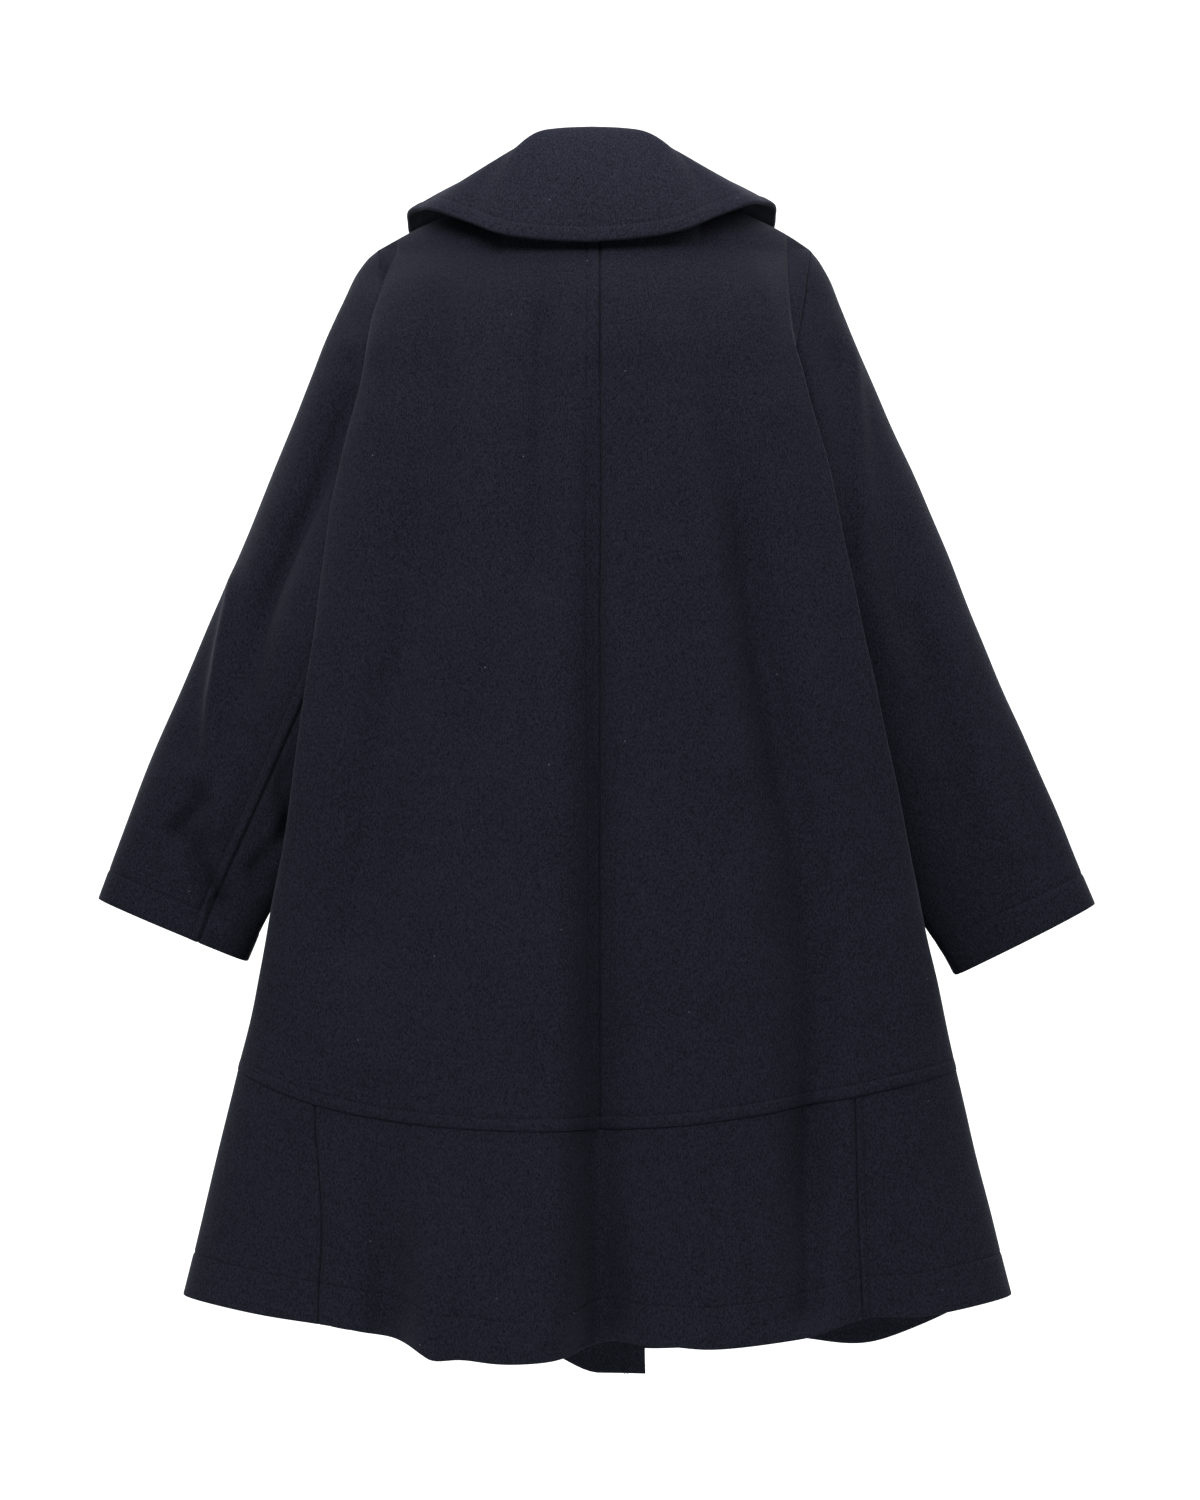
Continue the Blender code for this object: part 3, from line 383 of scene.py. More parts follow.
# How far from an edge the mesh stays close for the lines sewn there
SEWN_REACH = 0.024
NARROW_REACH = 0.014
SEAM_REACH = 0.008
HEM_REACH = 0.048
CUFF_REACH = 0.040

# Rise of the back under the collar's edge
COLLAR_REST = 0.005
COLLAR_REST_WIDE = 0.11
COLLAR_REST_TOP = -0.005
COLLAR_REST_RISE = 0.03
COLLAR_REST_LOW = -0.16
COLLAR_REST_FALL = 0.11

# Mesh spacing
STEP = 0.0038
HIDDEN_STEP = 0.0055
ROLL_REACH = 0.12
ROLL_ROWS = 30
ROLL_CURVE = 1.8

# Rough lengths of cloth between the stations that the mesh is filled between
BACK_RUN = 0.27
SIDE_RUN = 0.10
FRONT_RUN = 0.25
BAND_BACK_RUN = 0.45
BAND_FOLD_RUN = 0.11
BAND_SIDE_RUN = 0.07
BAND_FRONT_RUN = 0.30
COLLAR_RUN = 0.55
STAND_LENGTH = 0.07
FALL_LENGTH = 0.11
SLEEVE_LENGTH = 0.60
SLEEVE_ROUND = 0.34

# Length of cloth for each share of the way along a sleeve near its cuff, at its two edges
CUFF_PACE_INNER = 0.46
CUFF_PACE_OUTER = 0.633

# Length of the collar's edge for each radian round the neck, and a short step towards that edge
COLLAR_PACE = 0.12
COLLAR_EDGE_STEP = 0.02

# How creases come in from a sleeve's edges and cap, and unevenness from the collar's roll
SLEEVE_FACE = 2.0
CAP_CREASE_FADE = 0.08
FALL_SPEED = 4.0


def smooth(value):
    """Ease from 0 to 1 with level ends."""
    value = np.clip(value, 0.0, 1.0)
    return value * value * (3.0 - 2.0 * value)


def mix(low, high, share):
    return low + (high - low) * share


def bell(distance, wide):
    return np.exp(-(distance / wide) ** 2)


def read_table(rows, name, at):
    """Read a column at values of a table's first column, along a curve with no overshoot."""
    rows = sorted(rows)
    keys = np.array([row[0] for row in rows], dtype=float)
    values = np.array([getattr(row, name) for row in rows], dtype=float)
    spans = np.diff(keys)
    rises = np.diff(values) / spans
    agree = rises[:-1] * rises[1:]
    total = np.where(agree > 0.0, rises[:-1] + rises[1:], 1.0)
    slopes = np.concatenate((rises[:1], np.where(agree > 0.0, 2.0 * agree / total, 0.0), rises[-1:]))
    at = np.clip(at, keys[0], keys[-1])
    index = np.clip(np.searchsorted(keys, at, side="right") - 1, 0, len(spans) - 1)
    share = (at - keys[index]) / spans[index]
    left = values[index] + share * spans[index] * slopes[index]
    right = values[index + 1] - (1.0 - share) * spans[index] * slopes[index + 1]
    return mix(left, right, smooth(share))


def points_of(x, y, z):
    return np.stack(np.broadcast_arrays(x, y, z), axis=-1)


def unit(vectors):
    return vectors / np.maximum(np.linalg.norm(vectors, axis=-1, keepdims=True), TINY)


def armhole_width(z, half):
    """Half the armhole's width at a height, nothing below the underarm."""
    middle = (SHOULDER_Z + UNDERARM_Z) / 2.0
    reach = (SHOULDER_Z - UNDERARM_Z) / 2.0
    return half * np.sqrt(np.maximum(0.0, 1.0 - ((z - middle) / reach) ** 2))


def ring_xy(side, station, z):
    """Point of the body's ring: station 0 centre back, 2 side, 4 centre front."""
    size = partial(read_table, BODY, at=z)
    front = station > SIDE_STATION
    arc = np.where(front, FRONT_STATION - station, station)
    ridge = np.where(front, size("front_ridge"), size("ridge_" + SIDES[side]))
    depth = np.where(front, size("front_ridge_depth"), size("ridge_depth"))
    middle = np.where(front, size("front_depth"), size("back_depth"))
    edge = np.where(front, armhole_width(z, ARMHOLE_FRONT), armhole_width(z, ARMHOLE_BACK))
    turn = mix(1.0, SIDE_TURN, smooth((SHOULDER_Z - z) / ROLL_BACK))
    past = arc - BACK_FOLD_STATION
    open_part = arc <= BACK_FOLD_STATION
    x = np.where(open_part, ridge * np.sin(arc * QUARTER),
                 mix(ridge, size("side_half"), smooth(past / turn)))
    y = np.where(open_part, mix(depth, middle, np.cos(arc * QUARTER)), mix(depth, edge, past))
    across = smooth((x - NECK_HALF) / (SHOULDER_HALF - NECK_HALF))
    spread = SHOULDER_SPREAD[side] * across
    x = x + spread * (1.0 - smooth((SHOULDER_Z - z) / SHOULDER_SPREAD_DROP))
    return x, np.where(front, y, -y)


def neck_edge(reach, front):
    """Depth and height of the neck line, reach 0 at its centre and 1 at the shoulder."""
    reach = np.minimum(1.0, reach)
    root = np.sqrt(1.0 - reach ** 2)
    dip = 1.0 - reach ** NECK_CURVE
    depth = np.where(front, NECK_FRONT * root, -NECK_BACK * root)
    return depth, NECK_POINT_Z - np.where(front, NECK_FRONT_DROP, NECK_BACK_DROP) * dip


def top_edge(side, station):
    """Depth and height of the neck and shoulder line above a station."""
    station = np.asarray(station, dtype=float)
    x = np.abs(ring_xy(side, station, SHOULDER_Z)[0])
    tip = ring_xy(side, np.asarray(SIDE_STATION), SHOULDER_Z)[0]
    share = np.clip((x - NECK_HALF) / (tip - NECK_HALF), 0.0, 1.0)
    neck_y, neck_z = neck_edge(x / NECK_HALF, station > SIDE_STATION)
    shoulder_z = mix(NECK_POINT_Z, SHOULDER_Z, share) + SHOULDER_CROWN * np.sin(np.pi * share)
    return np.where(x < NECK_HALF, neck_y, 0.0), np.where(x < NECK_HALF, neck_z, shoulder_z)


def fold_depth(folds, x, z):
    """How far folds push the cloth out at places across and up the coat."""
    total = np.zeros(np.broadcast(x, z).shape)
    for fold in folds:
        span = fold.z_high - fold.z_low
        share = (fold.z_high - z) / span
        fade = smooth(1.0 + share * span / FOLD_FADE)
        tail = smooth(1.0 - (fold.z_low - z - FOLD_FADE) / (2.0 * FOLD_FADE))
        share = np.clip(share, 0.0, 1.0)
        depth = mix(fold.depth_high, fold.depth_low, share) * fade * tail
        wide = mix(fold.wide_high, fold.wide_low, share)
        total = total + depth * bell(x - mix(fold.x_high, fold.x_low, share), wide)
    return total


def crease_depth(creases, x, z):
    """How far creases push the cloth out at places across and up the coat."""
    total = 0.0
    for marks in creases:
        ends = smooth(1.0 + (marks[0].z - z) / CREASE_FADE) * smooth(1.0 + (z - marks[-1].z) / CREASE_FADE)
        middle, wide, depth = (read_table(marks, name, z) for name in ("x", "wide", "depth"))
        total = total + depth * ends * bell(x - middle, wide)
    return total


def side_share(station):
    """0 at the centres and 1 from each side fold to the side."""
    arc = np.where(station > SIDE_STATION, FRONT_STATION - station, station)
    return np.where(arc <= BACK_FOLD_STATION, np.sin(arc * QUARTER) ** 2, 1.0)


def surface_point(side, station, z):
    """Points of the coat's outer surface at stations and heights before the sides lift."""
    x, y = ring_xy(side, station, z)
    y_top, z_top = top_edge(side, station)
    front = station > SIDE_STATION
    roll = mix(np.where(front, ROLL_FRONT, ROLL_BACK), ROLL_AT_ARMHOLE,
               smooth(1.0 - np.abs(station - SIDE_STATION)))
    turned = np.sqrt(1.0 - (1.0 - np.clip((z_top - z) / roll, 0.0, 1.0)) ** 2)
    y = mix(y_top, y, turned)
    across = side_share(station)
    place = side * x
    folds = np.where(front, fold_depth(FRONT_FOLDS, place, z), fold_depth(BACK_FOLDS, place, z))
    folds = folds * (1.0 - across ** FOLD_SIDE_FADE) * turned
    creases = np.where(front, crease_depth(FRONT_CREASES, place, z), crease_depth(BACK_CREASES, place, z))
    out = folds + creases * (1.0 - across ** CREASE_SIDE_FADE) * turned
    y = y + np.where(front, out, -out)
    low = smooth((LIFT_START_Z - z) / LIFT_SPAN)
    hem = smooth((BAND_SEAM_Z - z) / BAND_LENGTH)
    curve = np.where(front, LIFT_CURVE_FRONT[side], mix(LIFT_CURVE_SEAM[side], LIFT_CURVE_HEM, hem))
    lift = across ** curve
    height = z + SIDE_LIFT * low * lift - FOLD_HEM_RISE * folds * hem
    height = height - np.where(front, FRONT_DROP * low * (1.0 - lift), 0.0)
    if side == LEFT:
        tuck = smooth((place + OVERLAP[RIGHT]) / UNDERLAP_TUCK + UNDERLAP_TUCK_LEAD)
        tuck = np.where(front, tuck * smooth((SHOULDER_Z - z) / UNDERLAP_TUCK), 0.0)
        below = CLOTH + UNDERLAP_GAP + UNDERLAP_NECK_GAP * (1.0 - turned)
        hang = np.where(front, smooth((place + UNDERLAP_HANG) / UNDERLAP_HANG), 0.0)
        y = y - tuck * below
        height = height - tuck * below * (1.0 - turned) - hang * low * UNDERLAP_DROP
    return points_of(place, y, height)


def body_height(side, station, share):
    z_top = top_edge(side, np.minimum(station, FRONT_STATION))[1]
    return mix(z_top, BAND_SEAM_Z, share)


def body_point(side, station, share):
    """Points of a body panel, share 0 at the neck or shoulder and 1 at the band's seam."""
    return surface_point(side, station, body_height(side, station, share))


def band_point(side, station, share):
    """Points of the hem band, share 0 at its seam and 1 at the hem; below 0 is the left."""
    height = mix(BAND_SEAM_Z, HEM_Z, share)
    here = surface_point(side, np.abs(station), height)
    return np.where((station < 0.0)[..., None], surface_point(LEFT, np.abs(station), height), here)


def station_at(side, x, z, front):
    """Stations on the back or the front at distances from the centre."""
    name = "front_ridge" if front else "ridge_" + SIDES[side]
    share = np.arcsin(x / read_table(BODY, name, z)) / QUARTER
    return FRONT_STATION - share if front else share


def sleeve_point(side, angle, along):
    """Points of a sleeve: angle from its outer edge by way of the back, along 0 to 1."""
    size = partial(read_table, SLEEVE[side], at=along)
    out = (1.0 + np.cos(angle)) / 2.0
    half = np.where(np.sin(angle) > 0.0, size("back_half"), size("front_half"))
    full = mix(1.0, SLEEVE_FULL[side], smooth(along / SLEEVE_CAP_FADE))
    inner = mix(1.0, SLEEVE_INNER_FULL, smooth(along / SLEEVE_CAP_FADE - 1.0))
    inner = np.where(np.sin(angle) > 0.0, inner, 1.0)
    bow = np.abs(np.sin(angle)) ** np.where(np.cos(angle) > 0.0, full, inner)
    y = size("middle_y") - half * np.copysign(bow, np.sin(angle))
    cap = SLEEVE[side][0]
    cap_z = mix(cap.inner_z, cap.outer_z, out)
    hollow = ring_xy(side, np.full_like(cap_z, SIDE_STATION), cap_z)[0] + ARMHOLE_SEAM
    hollow = hollow - mix(cap.inner_x, cap.outer_x, out)
    x = mix(size("inner_x"), size("outer_x"), out)
    x = x + hollow * (1.0 - smooth(along / SLEEVE_CAP_FADE))
    return points_of(side * x, y, mix(size("inner_z"), size("outer_z"), out))


def bezier(start, leave, arrive, end, share):
    rest = 1.0 - share
    return (start * rest ** 3 + leave * 3.0 * rest * rest * share
            + arrive * 3.0 * rest * share * share + end * share ** 3)


def collar_point(side, angle, share):
    """Points of the collar, share 0 at the neck seam, 1 at the roll and 2 at the edge."""
    turn = np.degrees(np.abs(angle))
    way = np.where(angle >= 0.0, 1.0, -1.0)
    size = partial(read_table, COLLAR, at=turn)
    y, z = neck_edge(np.abs(np.sin(angle)), np.abs(angle) > QUARTER)
    shrink = 1.0 - COLLAR_CLOTH / (NECK_HALF + NECK_BACK)
    seam = points_of(NECK_HALF * np.sin(angle) * shrink, y * shrink, z + COLLAR_SEAM)
    roll = points_of(way * size("roll_x") + COLLAR_SHIFT, size("roll_y"), size("roll_z"))
    edge = points_of(way * size("edge_x") + COLLAR_SHIFT, size("edge_y"), size("edge_z"))
    edge[..., AXIS_Z] += COLLAR_LEAN * edge[..., AXIS_X]
    level = np.array((1.0, 1.0, 0.0))
    upright = np.array((0.0, 0.0, 1.0))
    out = unit((edge - roll) * level)
    rise = upright * (STAND_RISE * (roll - seam)[..., AXIS_Z:])
    part = np.broadcast_to(share, angle.shape)[..., None]
    stand = bezier(seam, seam + rise, roll - out * ROLL_HANDLE_IN, roll, np.minimum(part, 1.0))
    arrive = edge + (roll - edge) * FALL_HANDLE + (out + upright) * size("bulge")[..., None]
    fall = bezier(roll, roll + out * ROLL_HANDLE_OUT, arrive, edge, np.maximum(part - 1.0, 0.0))
    return np.where(part <= 1.0, stand, fall)


ALL = slice(None)
TOP = (0, ALL)
BOTTOM = (-1, ALL)
FIRST = (ALL, 0)
LAST = (ALL, -1)


def outward(point, side, columns, shares, edges=()):
    """Outward directions of a surface, from short steps along it.

    Each of edges names a border of the grid and the axis that is taken out there, so that
    pieces meet squarely.
    """
    low = columns - STATION_STEP
    high = columns + STATION_STEP
    crossing = (low < SIDE_STATION) & (high > SIDE_STATION) & (point is not sleeve_point)
    low = np.where(crossing & (columns > SIDE_STATION), columns, low)
    high = np.where(crossing & (columns <= SIDE_STATION), columns, high)
    across = point(side, high, shares) - point(side, low, shares)
    end = COLLAR_EDGE if point is collar_point else 1.0
    start = np.minimum(shares, end - SHARE_STEP)
    down = point(side, columns, start + SHARE_STEP) - point(side, columns, start)
    normals = unit(np.cross(across, down)) * (side if point is sleeve_point else -side)
    for where, axis in edges:
        normals[where + (axis,)] = 0.0
        normals[where] = unit(normals[where])
    return normals


def sewn_marks(lines, reach):
    """Distances from an edge, close together at the edge and beside each sewn line."""
    marks = {0.0, reach, *EDGE_OFFSETS}
    for line in lines:
        for offset in SEW_OFFSETS:
            marks.update(round(line + way * offset, MARK_DIGITS) for way in (-1.0, 1.0))
    return sorted(mark for mark in marks if 0.0 <= mark <= reach)


def run(first, last, length, step):
    """Even shares from one value to another, without the last."""
    count = max(1, math.ceil(length / step))
    return [mix(first, last, k / count) for k in range(count)]


def fill_columns(marks, lengths, step):
    """Columns of stations or rows of shares through marks, evenly filled between them."""
    filled = []
    for low, high, length in zip(marks, marks[1:], lengths):
        filled += run(low, high, length, step)
    return np.stack(filled + [marks[-1]], axis=-1)


def uneven(x, z):
    """Slight waves over the whole cloth."""
    total = 0.0
    for wave in UNEVEN:
        total = total + wave.height * np.sin(2.0 * np.pi * (wave.across * x + wave.up * z) + wave.turn)
    return total


def pucker(place):
    """Uneven gathering along a sewn line, about 1."""
    waves = sum(np.sin(rate * place + rate) for rate in PUCKER_WAVES)
    return 1.0 + PUCKER * waves / len(PUCKER_WAVES)


def groove(distance, place):
    """A line of stitches drawn into the cloth."""
    return -GROOVE * bell(distance, GROOVE_WIDE) * pucker(place)


def plain_seam(distance):
    """Cloth beside a seam that is pressed open."""
    roll = SEAM_ROLL * bell(distance - SEAM_ROLL_AT, SEAM_ROLL_AT)
    return roll - SEAM_DIP * bell(distance, SEAM_DIP_WIDE)


def sewn_seam(distance, stitch, place):
    """Cloth beside a seam whose allowance is turned under and stitched down."""
    puff = SEAM_PUFF * np.sin(np.pi * np.clip(distance / stitch, 0.0, 1.0)) * pucker(place)
    lip = SEAM_LIP * smooth((stitch - distance) / SEAM_ROLL_AT)
    return puff + lip + groove(distance - stitch, place) - SEAM_DIP * bell(distance, SEAM_DIP_WIDE)


def turned_hem(distance, stitch, place):
    """Cloth doubled up to a line of stitches beside a free edge."""
    lip = SEAM_LIP * smooth((stitch - distance) / SEAM_ROLL_AT) * pucker(place)
    return lip + groove(distance - stitch, place)


def add_object(name, data):
    """Put a mesh, a lamp or a camera into the scene."""
    thing = bpy.data.objects.new(name, data)
    bpy.context.scene.collection.objects.link(thing)
    return thing


def mesh_from(builder, name):
    """Turn what a builder holds into a mesh and let the builder go."""
    mesh = bpy.data.meshes.new(name)
    builder.to_mesh(mesh)
    builder.free()
    return mesh


def shell(name, outer, normals, thick, free, material):
    """Close a grid of points and the same grid moved inwards into a thin wall of cloth.

    Where free, the distance to a cut edge, is short, the wall rounds off.
    """
    rows, columns = outer.shape[:2]
    left = mix(EDGE_LEFT, 1.0, np.sqrt(1.0 - (1.0 - np.clip(free / EDGE_ROUND, 0.0, 1.0)) ** 2))
    drop = (thick / 2.0) * (1.0 - np.broadcast_to(left, (rows, columns)))[..., None]
    inner = outer - normals * (thick - drop)
    outer = outer - normals * drop
    count = rows * columns
    index = np.arange(count).reshape(rows, columns)
    quads = np.stack((index[:-1, :-1], index[:-1, 1:], index[1:, 1:], index[1:, :-1]), axis=-1)
    rim = np.concatenate((index[0, :-1], index[:-1, -1], index[-1, :0:-1], index[:0:-1, 0]))
    after = np.roll(rim, -1)
    sides = np.stack((after, rim, rim + count, after + count), axis=-1)
    faces = np.concatenate((quads.reshape(-1, 4), quads.reshape(-1, 4)[:, ::-1] + count, sides))
    across = outer[:-1, 1:] - outer[:-1, :-1]
    down = outer[1:, :-1] - outer[:-1, :-1]
    if np.sum(np.cross(across, down) * normals[:-1, :-1]) < 0.0:
        faces = faces[:, ::-1]
    points = np.concatenate((outer.reshape(-1, 3), inner.reshape(-1, 3)))
    mesh = bpy.data.meshes.new(name)
    mesh.from_pydata(points.tolist(), [], faces.tolist())
    mesh.shade_smooth()
    mesh.materials.append(material)
    return add_object(name, mesh)


Stitching = namedtuple("Stitching", "points normals")
STITCHES = {}


def sew(piece, points, normals, where):
    """Keep a line of a cloth grid to be stitched, under the piece that it is sewn on."""
    STITCHES.setdefault(piece, []).append(Stitching(points[where], normals[where]))


def finish_cloth(node, outer, normals, thick, free, look):
    """Close a piece of cloth, stitch it and put it in the place of its solid."""
    # The collar gets a lighter copy of the wool: painted light
    material = collar_wool_painted_light(look) if node == "collar" else wool(look)
    thing = shell(node + "_cloth", outer, normals, thick, free, material)
    stitches = make_stitches(node, look)
    cut = CUTS[node]
    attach(thing, "root")
    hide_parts(node)
    list(cut.rests_on)


# What each piece was cut to, flat, and what carries it
Cut = namedtuple("Cut", "width length area rests_on")
CUTS = {
    "back_left": Cut(0.43, 0.83, 0.273, ("collar", "back_right")),
    "back_right": Cut(0.42, 0.82, 0.251, ("collar", "back_left")),
    "front_left": Cut(0.45, 0.85, 0.275, ("back_left",)),
    "front_right": Cut(0.49, 0.86, 0.303, ("back_right",)),
    "sleeve_left_upper": Cut(0.24, 0.61, 0.125, ("back_left",)),
    "sleeve_left_under": Cut(0.20, 0.54, 0.090, ("back_left",)),
    "sleeve_right_upper": Cut(0.25, 0.61, 0.130, ("back_right",)),
    "sleeve_right_under": Cut(0.14, 0.55, 0.065, ("back_right",)),
    "collar": Cut(0.65, 0.17, 0.079, ("back_left", "back_right")),
    "band_back": Cut(0.54, 0.20, 0.095, ("back_left", "back_right")),
    "band_left": Cut(0.70, 0.20, 0.123, ("back_left", "front_left")),
    "band_right": Cut(0.76, 0.20, 0.134, ("back_right", "front_right")),
}


def unfilled(marks):
    """No length to fill between marks that already lie close."""
    return [0.0] * (len(marks) - 1)


def nearest(distances, line):
    """Where, in a row of distances, a sewn line lies."""
    return int(np.argmin(np.abs(distances - line)))


def body_rows():
    """Shares of a body panel's rows: close at the shoulder's roll and by the band's seam."""
    shares = [ROLL_REACH / BODY_LENGTH * (k / ROLL_ROWS) ** ROLL_CURVE for k in range(ROLL_ROWS)]
    low = [BODY_LENGTH - mark for mark in sewn_marks((TOPSTITCH,), SEWN_REACH)][::-1]
    marks = np.array([ROLL_REACH] + low)
    shares += (fill_columns(marks, np.diff(marks), STEP) / BODY_LENGTH).tolist()
    return np.array(shares)[:, None]


def seam_ease(columns):
    """Less of a step where a seam runs over the folds at the sides."""
    return mix(1.0, SEAM_EASE, side_share(np.abs(columns)) ** SEAM_EASE_CURVE)


def below_collar(x, z):
    """How far the back stands up under the edge of the collar."""
    start = smooth((COLLAR_REST_TOP - z) / COLLAR_REST_RISE)
    end = smooth((z - COLLAR_REST_LOW) / COLLAR_REST_FALL)
    return COLLAR_REST * bell(x, COLLAR_REST_WIDE) * (start * end)


def fold_edge(side, columns, z):
    """How far the fold at the side of the back stands up beside its edge."""
    press, wide = (read_table(FOLD_EDGE[side], name, z) for name in ("press", "wide"))
    return press * bell(columns - BACK_FOLD_STATION, wide)


def make_back(side, look):
    """One half of the back, from the centre seam round to the side."""
    shares = body_rows()
    heights = mix(NECK_POINT_Z, BAND_SEAM_Z, shares[:, 0])
    near = sewn_marks((TOPSTITCH,), SEWN_REACH)
    marks = [station_at(side, mark, heights, False) for mark in near]
    marks += [np.full_like(heights, station) for station in (BACK_FOLD_STATION, SIDE_STATION)]
    columns = fill_columns(marks, unfilled(near) + [BACK_RUN, SIDE_RUN], STEP)
    shares = np.broadcast_to(shares, columns.shape)
    points = body_point(side, columns, shares)
    edges = ((FIRST, AXIS_X), (LAST, AXIS_Y), (BOTTOM, AXIS_Z), (TOP, AXIS_Y))
    normals = outward(body_point, side, columns, shares, edges)
    heights = body_height(side, columns, shares)
    x = np.abs(points[..., AXIS_X])
    above = (1.0 - shares) * BODY_LENGTH
    relief = uneven(points[..., AXIS_X], heights) + below_collar(x, heights)
    relief += sewn_seam(x, TOPSTITCH, heights) if side == LEFT else plain_seam(x)
    relief += sewn_seam(above, TOPSTITCH, points[..., AXIS_X]) * seam_ease(columns)
    relief += SIDE_DIP * plain_seam((SIDE_STATION - columns) * SIDE_RUN)
    outer = points + normals * relief[..., None]
    outer[..., AXIS_Y] -= fold_edge(side, columns, heights)
    name = "back_" + SIDES[side]
    sew(name, outer, normals, nearest(above[:, 0], TOPSTITCH))
    if side == LEFT:
        sew(name, outer, normals, (ALL, near.index(TOPSTITCH)))
    finish_cloth(name, outer, normals, CLOTH, above + EDGE_ROUND, look)


def front_edge_stations(side, distances, top, bottom, shares):
    """Stations at distances back from a front's free edge."""
    z = mix(top, bottom, shares)
    stations = []
    for distance in distances:
        x = OVERLAP[side] - distance
        past = station_at(side, np.abs(x), z, True)
        stations.append(FULL_TURN - past if x >= 0.0 else past)
    return stations


def make_front(side, look):
    """One half of the front, from the side to past the centre."""
    shares = body_rows()
    rows = shares[:, 0]
    near = sewn_marks((EDGE_TOPSTITCH,), SEWN_REACH)
    edge = front_edge_stations(side, near, NECK_POINT_Z - NECK_FRONT_DROP, BAND_SEAM_Z, rows)[::-1]
    marks = [np.full_like(rows, station) for station in (FRONT_SIDE_STATION, FRONT_FOLD_STATION)]
    lengths = [SIDE_RUN, FRONT_RUN + OVERLAP[side]] + unfilled(near)
    columns = fill_columns(marks + edge, lengths, HIDDEN_STEP)
    shares = np.broadcast_to(shares, columns.shape)
    points = body_point(side, columns, shares)
    edges = ((FIRST, AXIS_Y), (BOTTOM, AXIS_Z), (TOP, AXIS_Y))
    normals = outward(body_point, side, columns, shares, edges)
    heights = body_height(side, columns, shares)
    above = (1.0 - shares) * BODY_LENGTH
    from_edge = side * points[..., AXIS_X] + OVERLAP[side]
    relief = uneven(points[..., AXIS_X], heights)
    relief += sewn_seam(above, TOPSTITCH, points[..., AXIS_X]) * seam_ease(columns)
    relief += turned_hem(from_edge, EDGE_TOPSTITCH, heights)
    relief += plain_seam((columns - SIDE_STATION) * SIDE_RUN)
    if side == LEFT:
        relief *= smooth((from_edge - OVERLAP[LEFT] - OVERLAP[RIGHT]) / UNDERLAP_FLAT)
    outer = points + normals * relief[..., None]
    name = "front_" + SIDES[side]
    sew(name, outer, normals, nearest(above[:, 0], TOPSTITCH))
    sew(name, outer, normals, (ALL, -1 - near.index(EDGE_TOPSTITCH)))
    finish_cloth(name, outer, normals, CLOTH, np.minimum(from_edge, above + EDGE_ROUND), look)


def join_x(side, share):
    """Distance of a band's upright seam from the centre back."""
    sway = JOIN_SWAY[side] * np.sin(np.pi * share) ** 2
    return mix(BAND_JOIN[side][0], BAND_JOIN[side][1], share) - sway


def band_rows():
    """Shares of a band's rows, close by its seam, its hem and the hem's stitches."""
    low = [BAND_LENGTH - mark for mark in sewn_marks((HEM_DEPTH,), HEM_REACH)][::-1]
    marks = np.array(sewn_marks((), SEAM_REACH) + low)
    return fill_columns(marks, np.diff(marks), STEP) / BAND_LENGTH


def sew_inside(piece, outer, normals, row, column):
    """Stitch the hem and the edge of the facing where they show inside."""
    inner = outer - normals * CLOTH
    sew(piece, inner, -normals, row)
    sew(piece, inner, -normals, (ALL, column))


def finish_band(name, columns, shares, points, normals, relief, free, sewn_columns, look):
    """Add the hem to a band, sink it a little below the body and close it."""
    heights = mix(BAND_SEAM_Z, HEM_Z, shares)
    from_hem = heights - HEM_Z
    place = points[..., AXIS_X] + points[..., AXIS_Y]
    relief = relief + uneven(points[..., AXIS_X], heights)
    relief += turned_hem(from_hem, HEM_DEPTH, place) - BAND_SET_IN * seam_ease(columns)
    outer = points + normals * relief[..., None]
    sew(name, outer, normals, nearest(from_hem[:, 0], HEM_DEPTH))
    for column in sewn_columns:
        sew(name, outer, normals, (ALL, column))
    if sewn_columns:
        row = nearest(from_hem[:, 0], INNER_HEM)
        sew_inside(name, outer, normals, row, nearest(free[0], FACING_EDGE))
    finish_cloth(name, outer, normals, CLOTH, np.minimum(free, from_hem), look)


def make_band_back(look):
    """The hem band across the back, between its two upright seams."""
    rows = band_rows()
    z = mix(BAND_SEAM_Z, HEM_Z, rows)
    near = sewn_marks((), SEAM_REACH)
    left = [-station_at(LEFT, join_x(LEFT, rows) - mark, z, False) for mark in near]
    right = [station_at(RIGHT, join_x(RIGHT, rows) - mark, z, False) for mark in near][::-1]
    columns = fill_columns(left + right, unfilled(near) + [BAND_BACK_RUN] + unfilled(near), STEP)
    shares = np.broadcast_to(rows[:, None], columns.shape)
    points = band_point(RIGHT, columns, shares)
    edges = [(edge, AXIS_Z) for edge in (TOP, FIRST, LAST)]
    normals = outward(band_point, RIGHT, columns, shares, edges)
    x = points[..., AXIS_X]
    relief = plain_seam(x + join_x(LEFT, shares)) + plain_seam(join_x(RIGHT, shares) - x)
    finish_band("band_back", columns, shares, points, normals, relief, EDGE_ROUND, (), look)


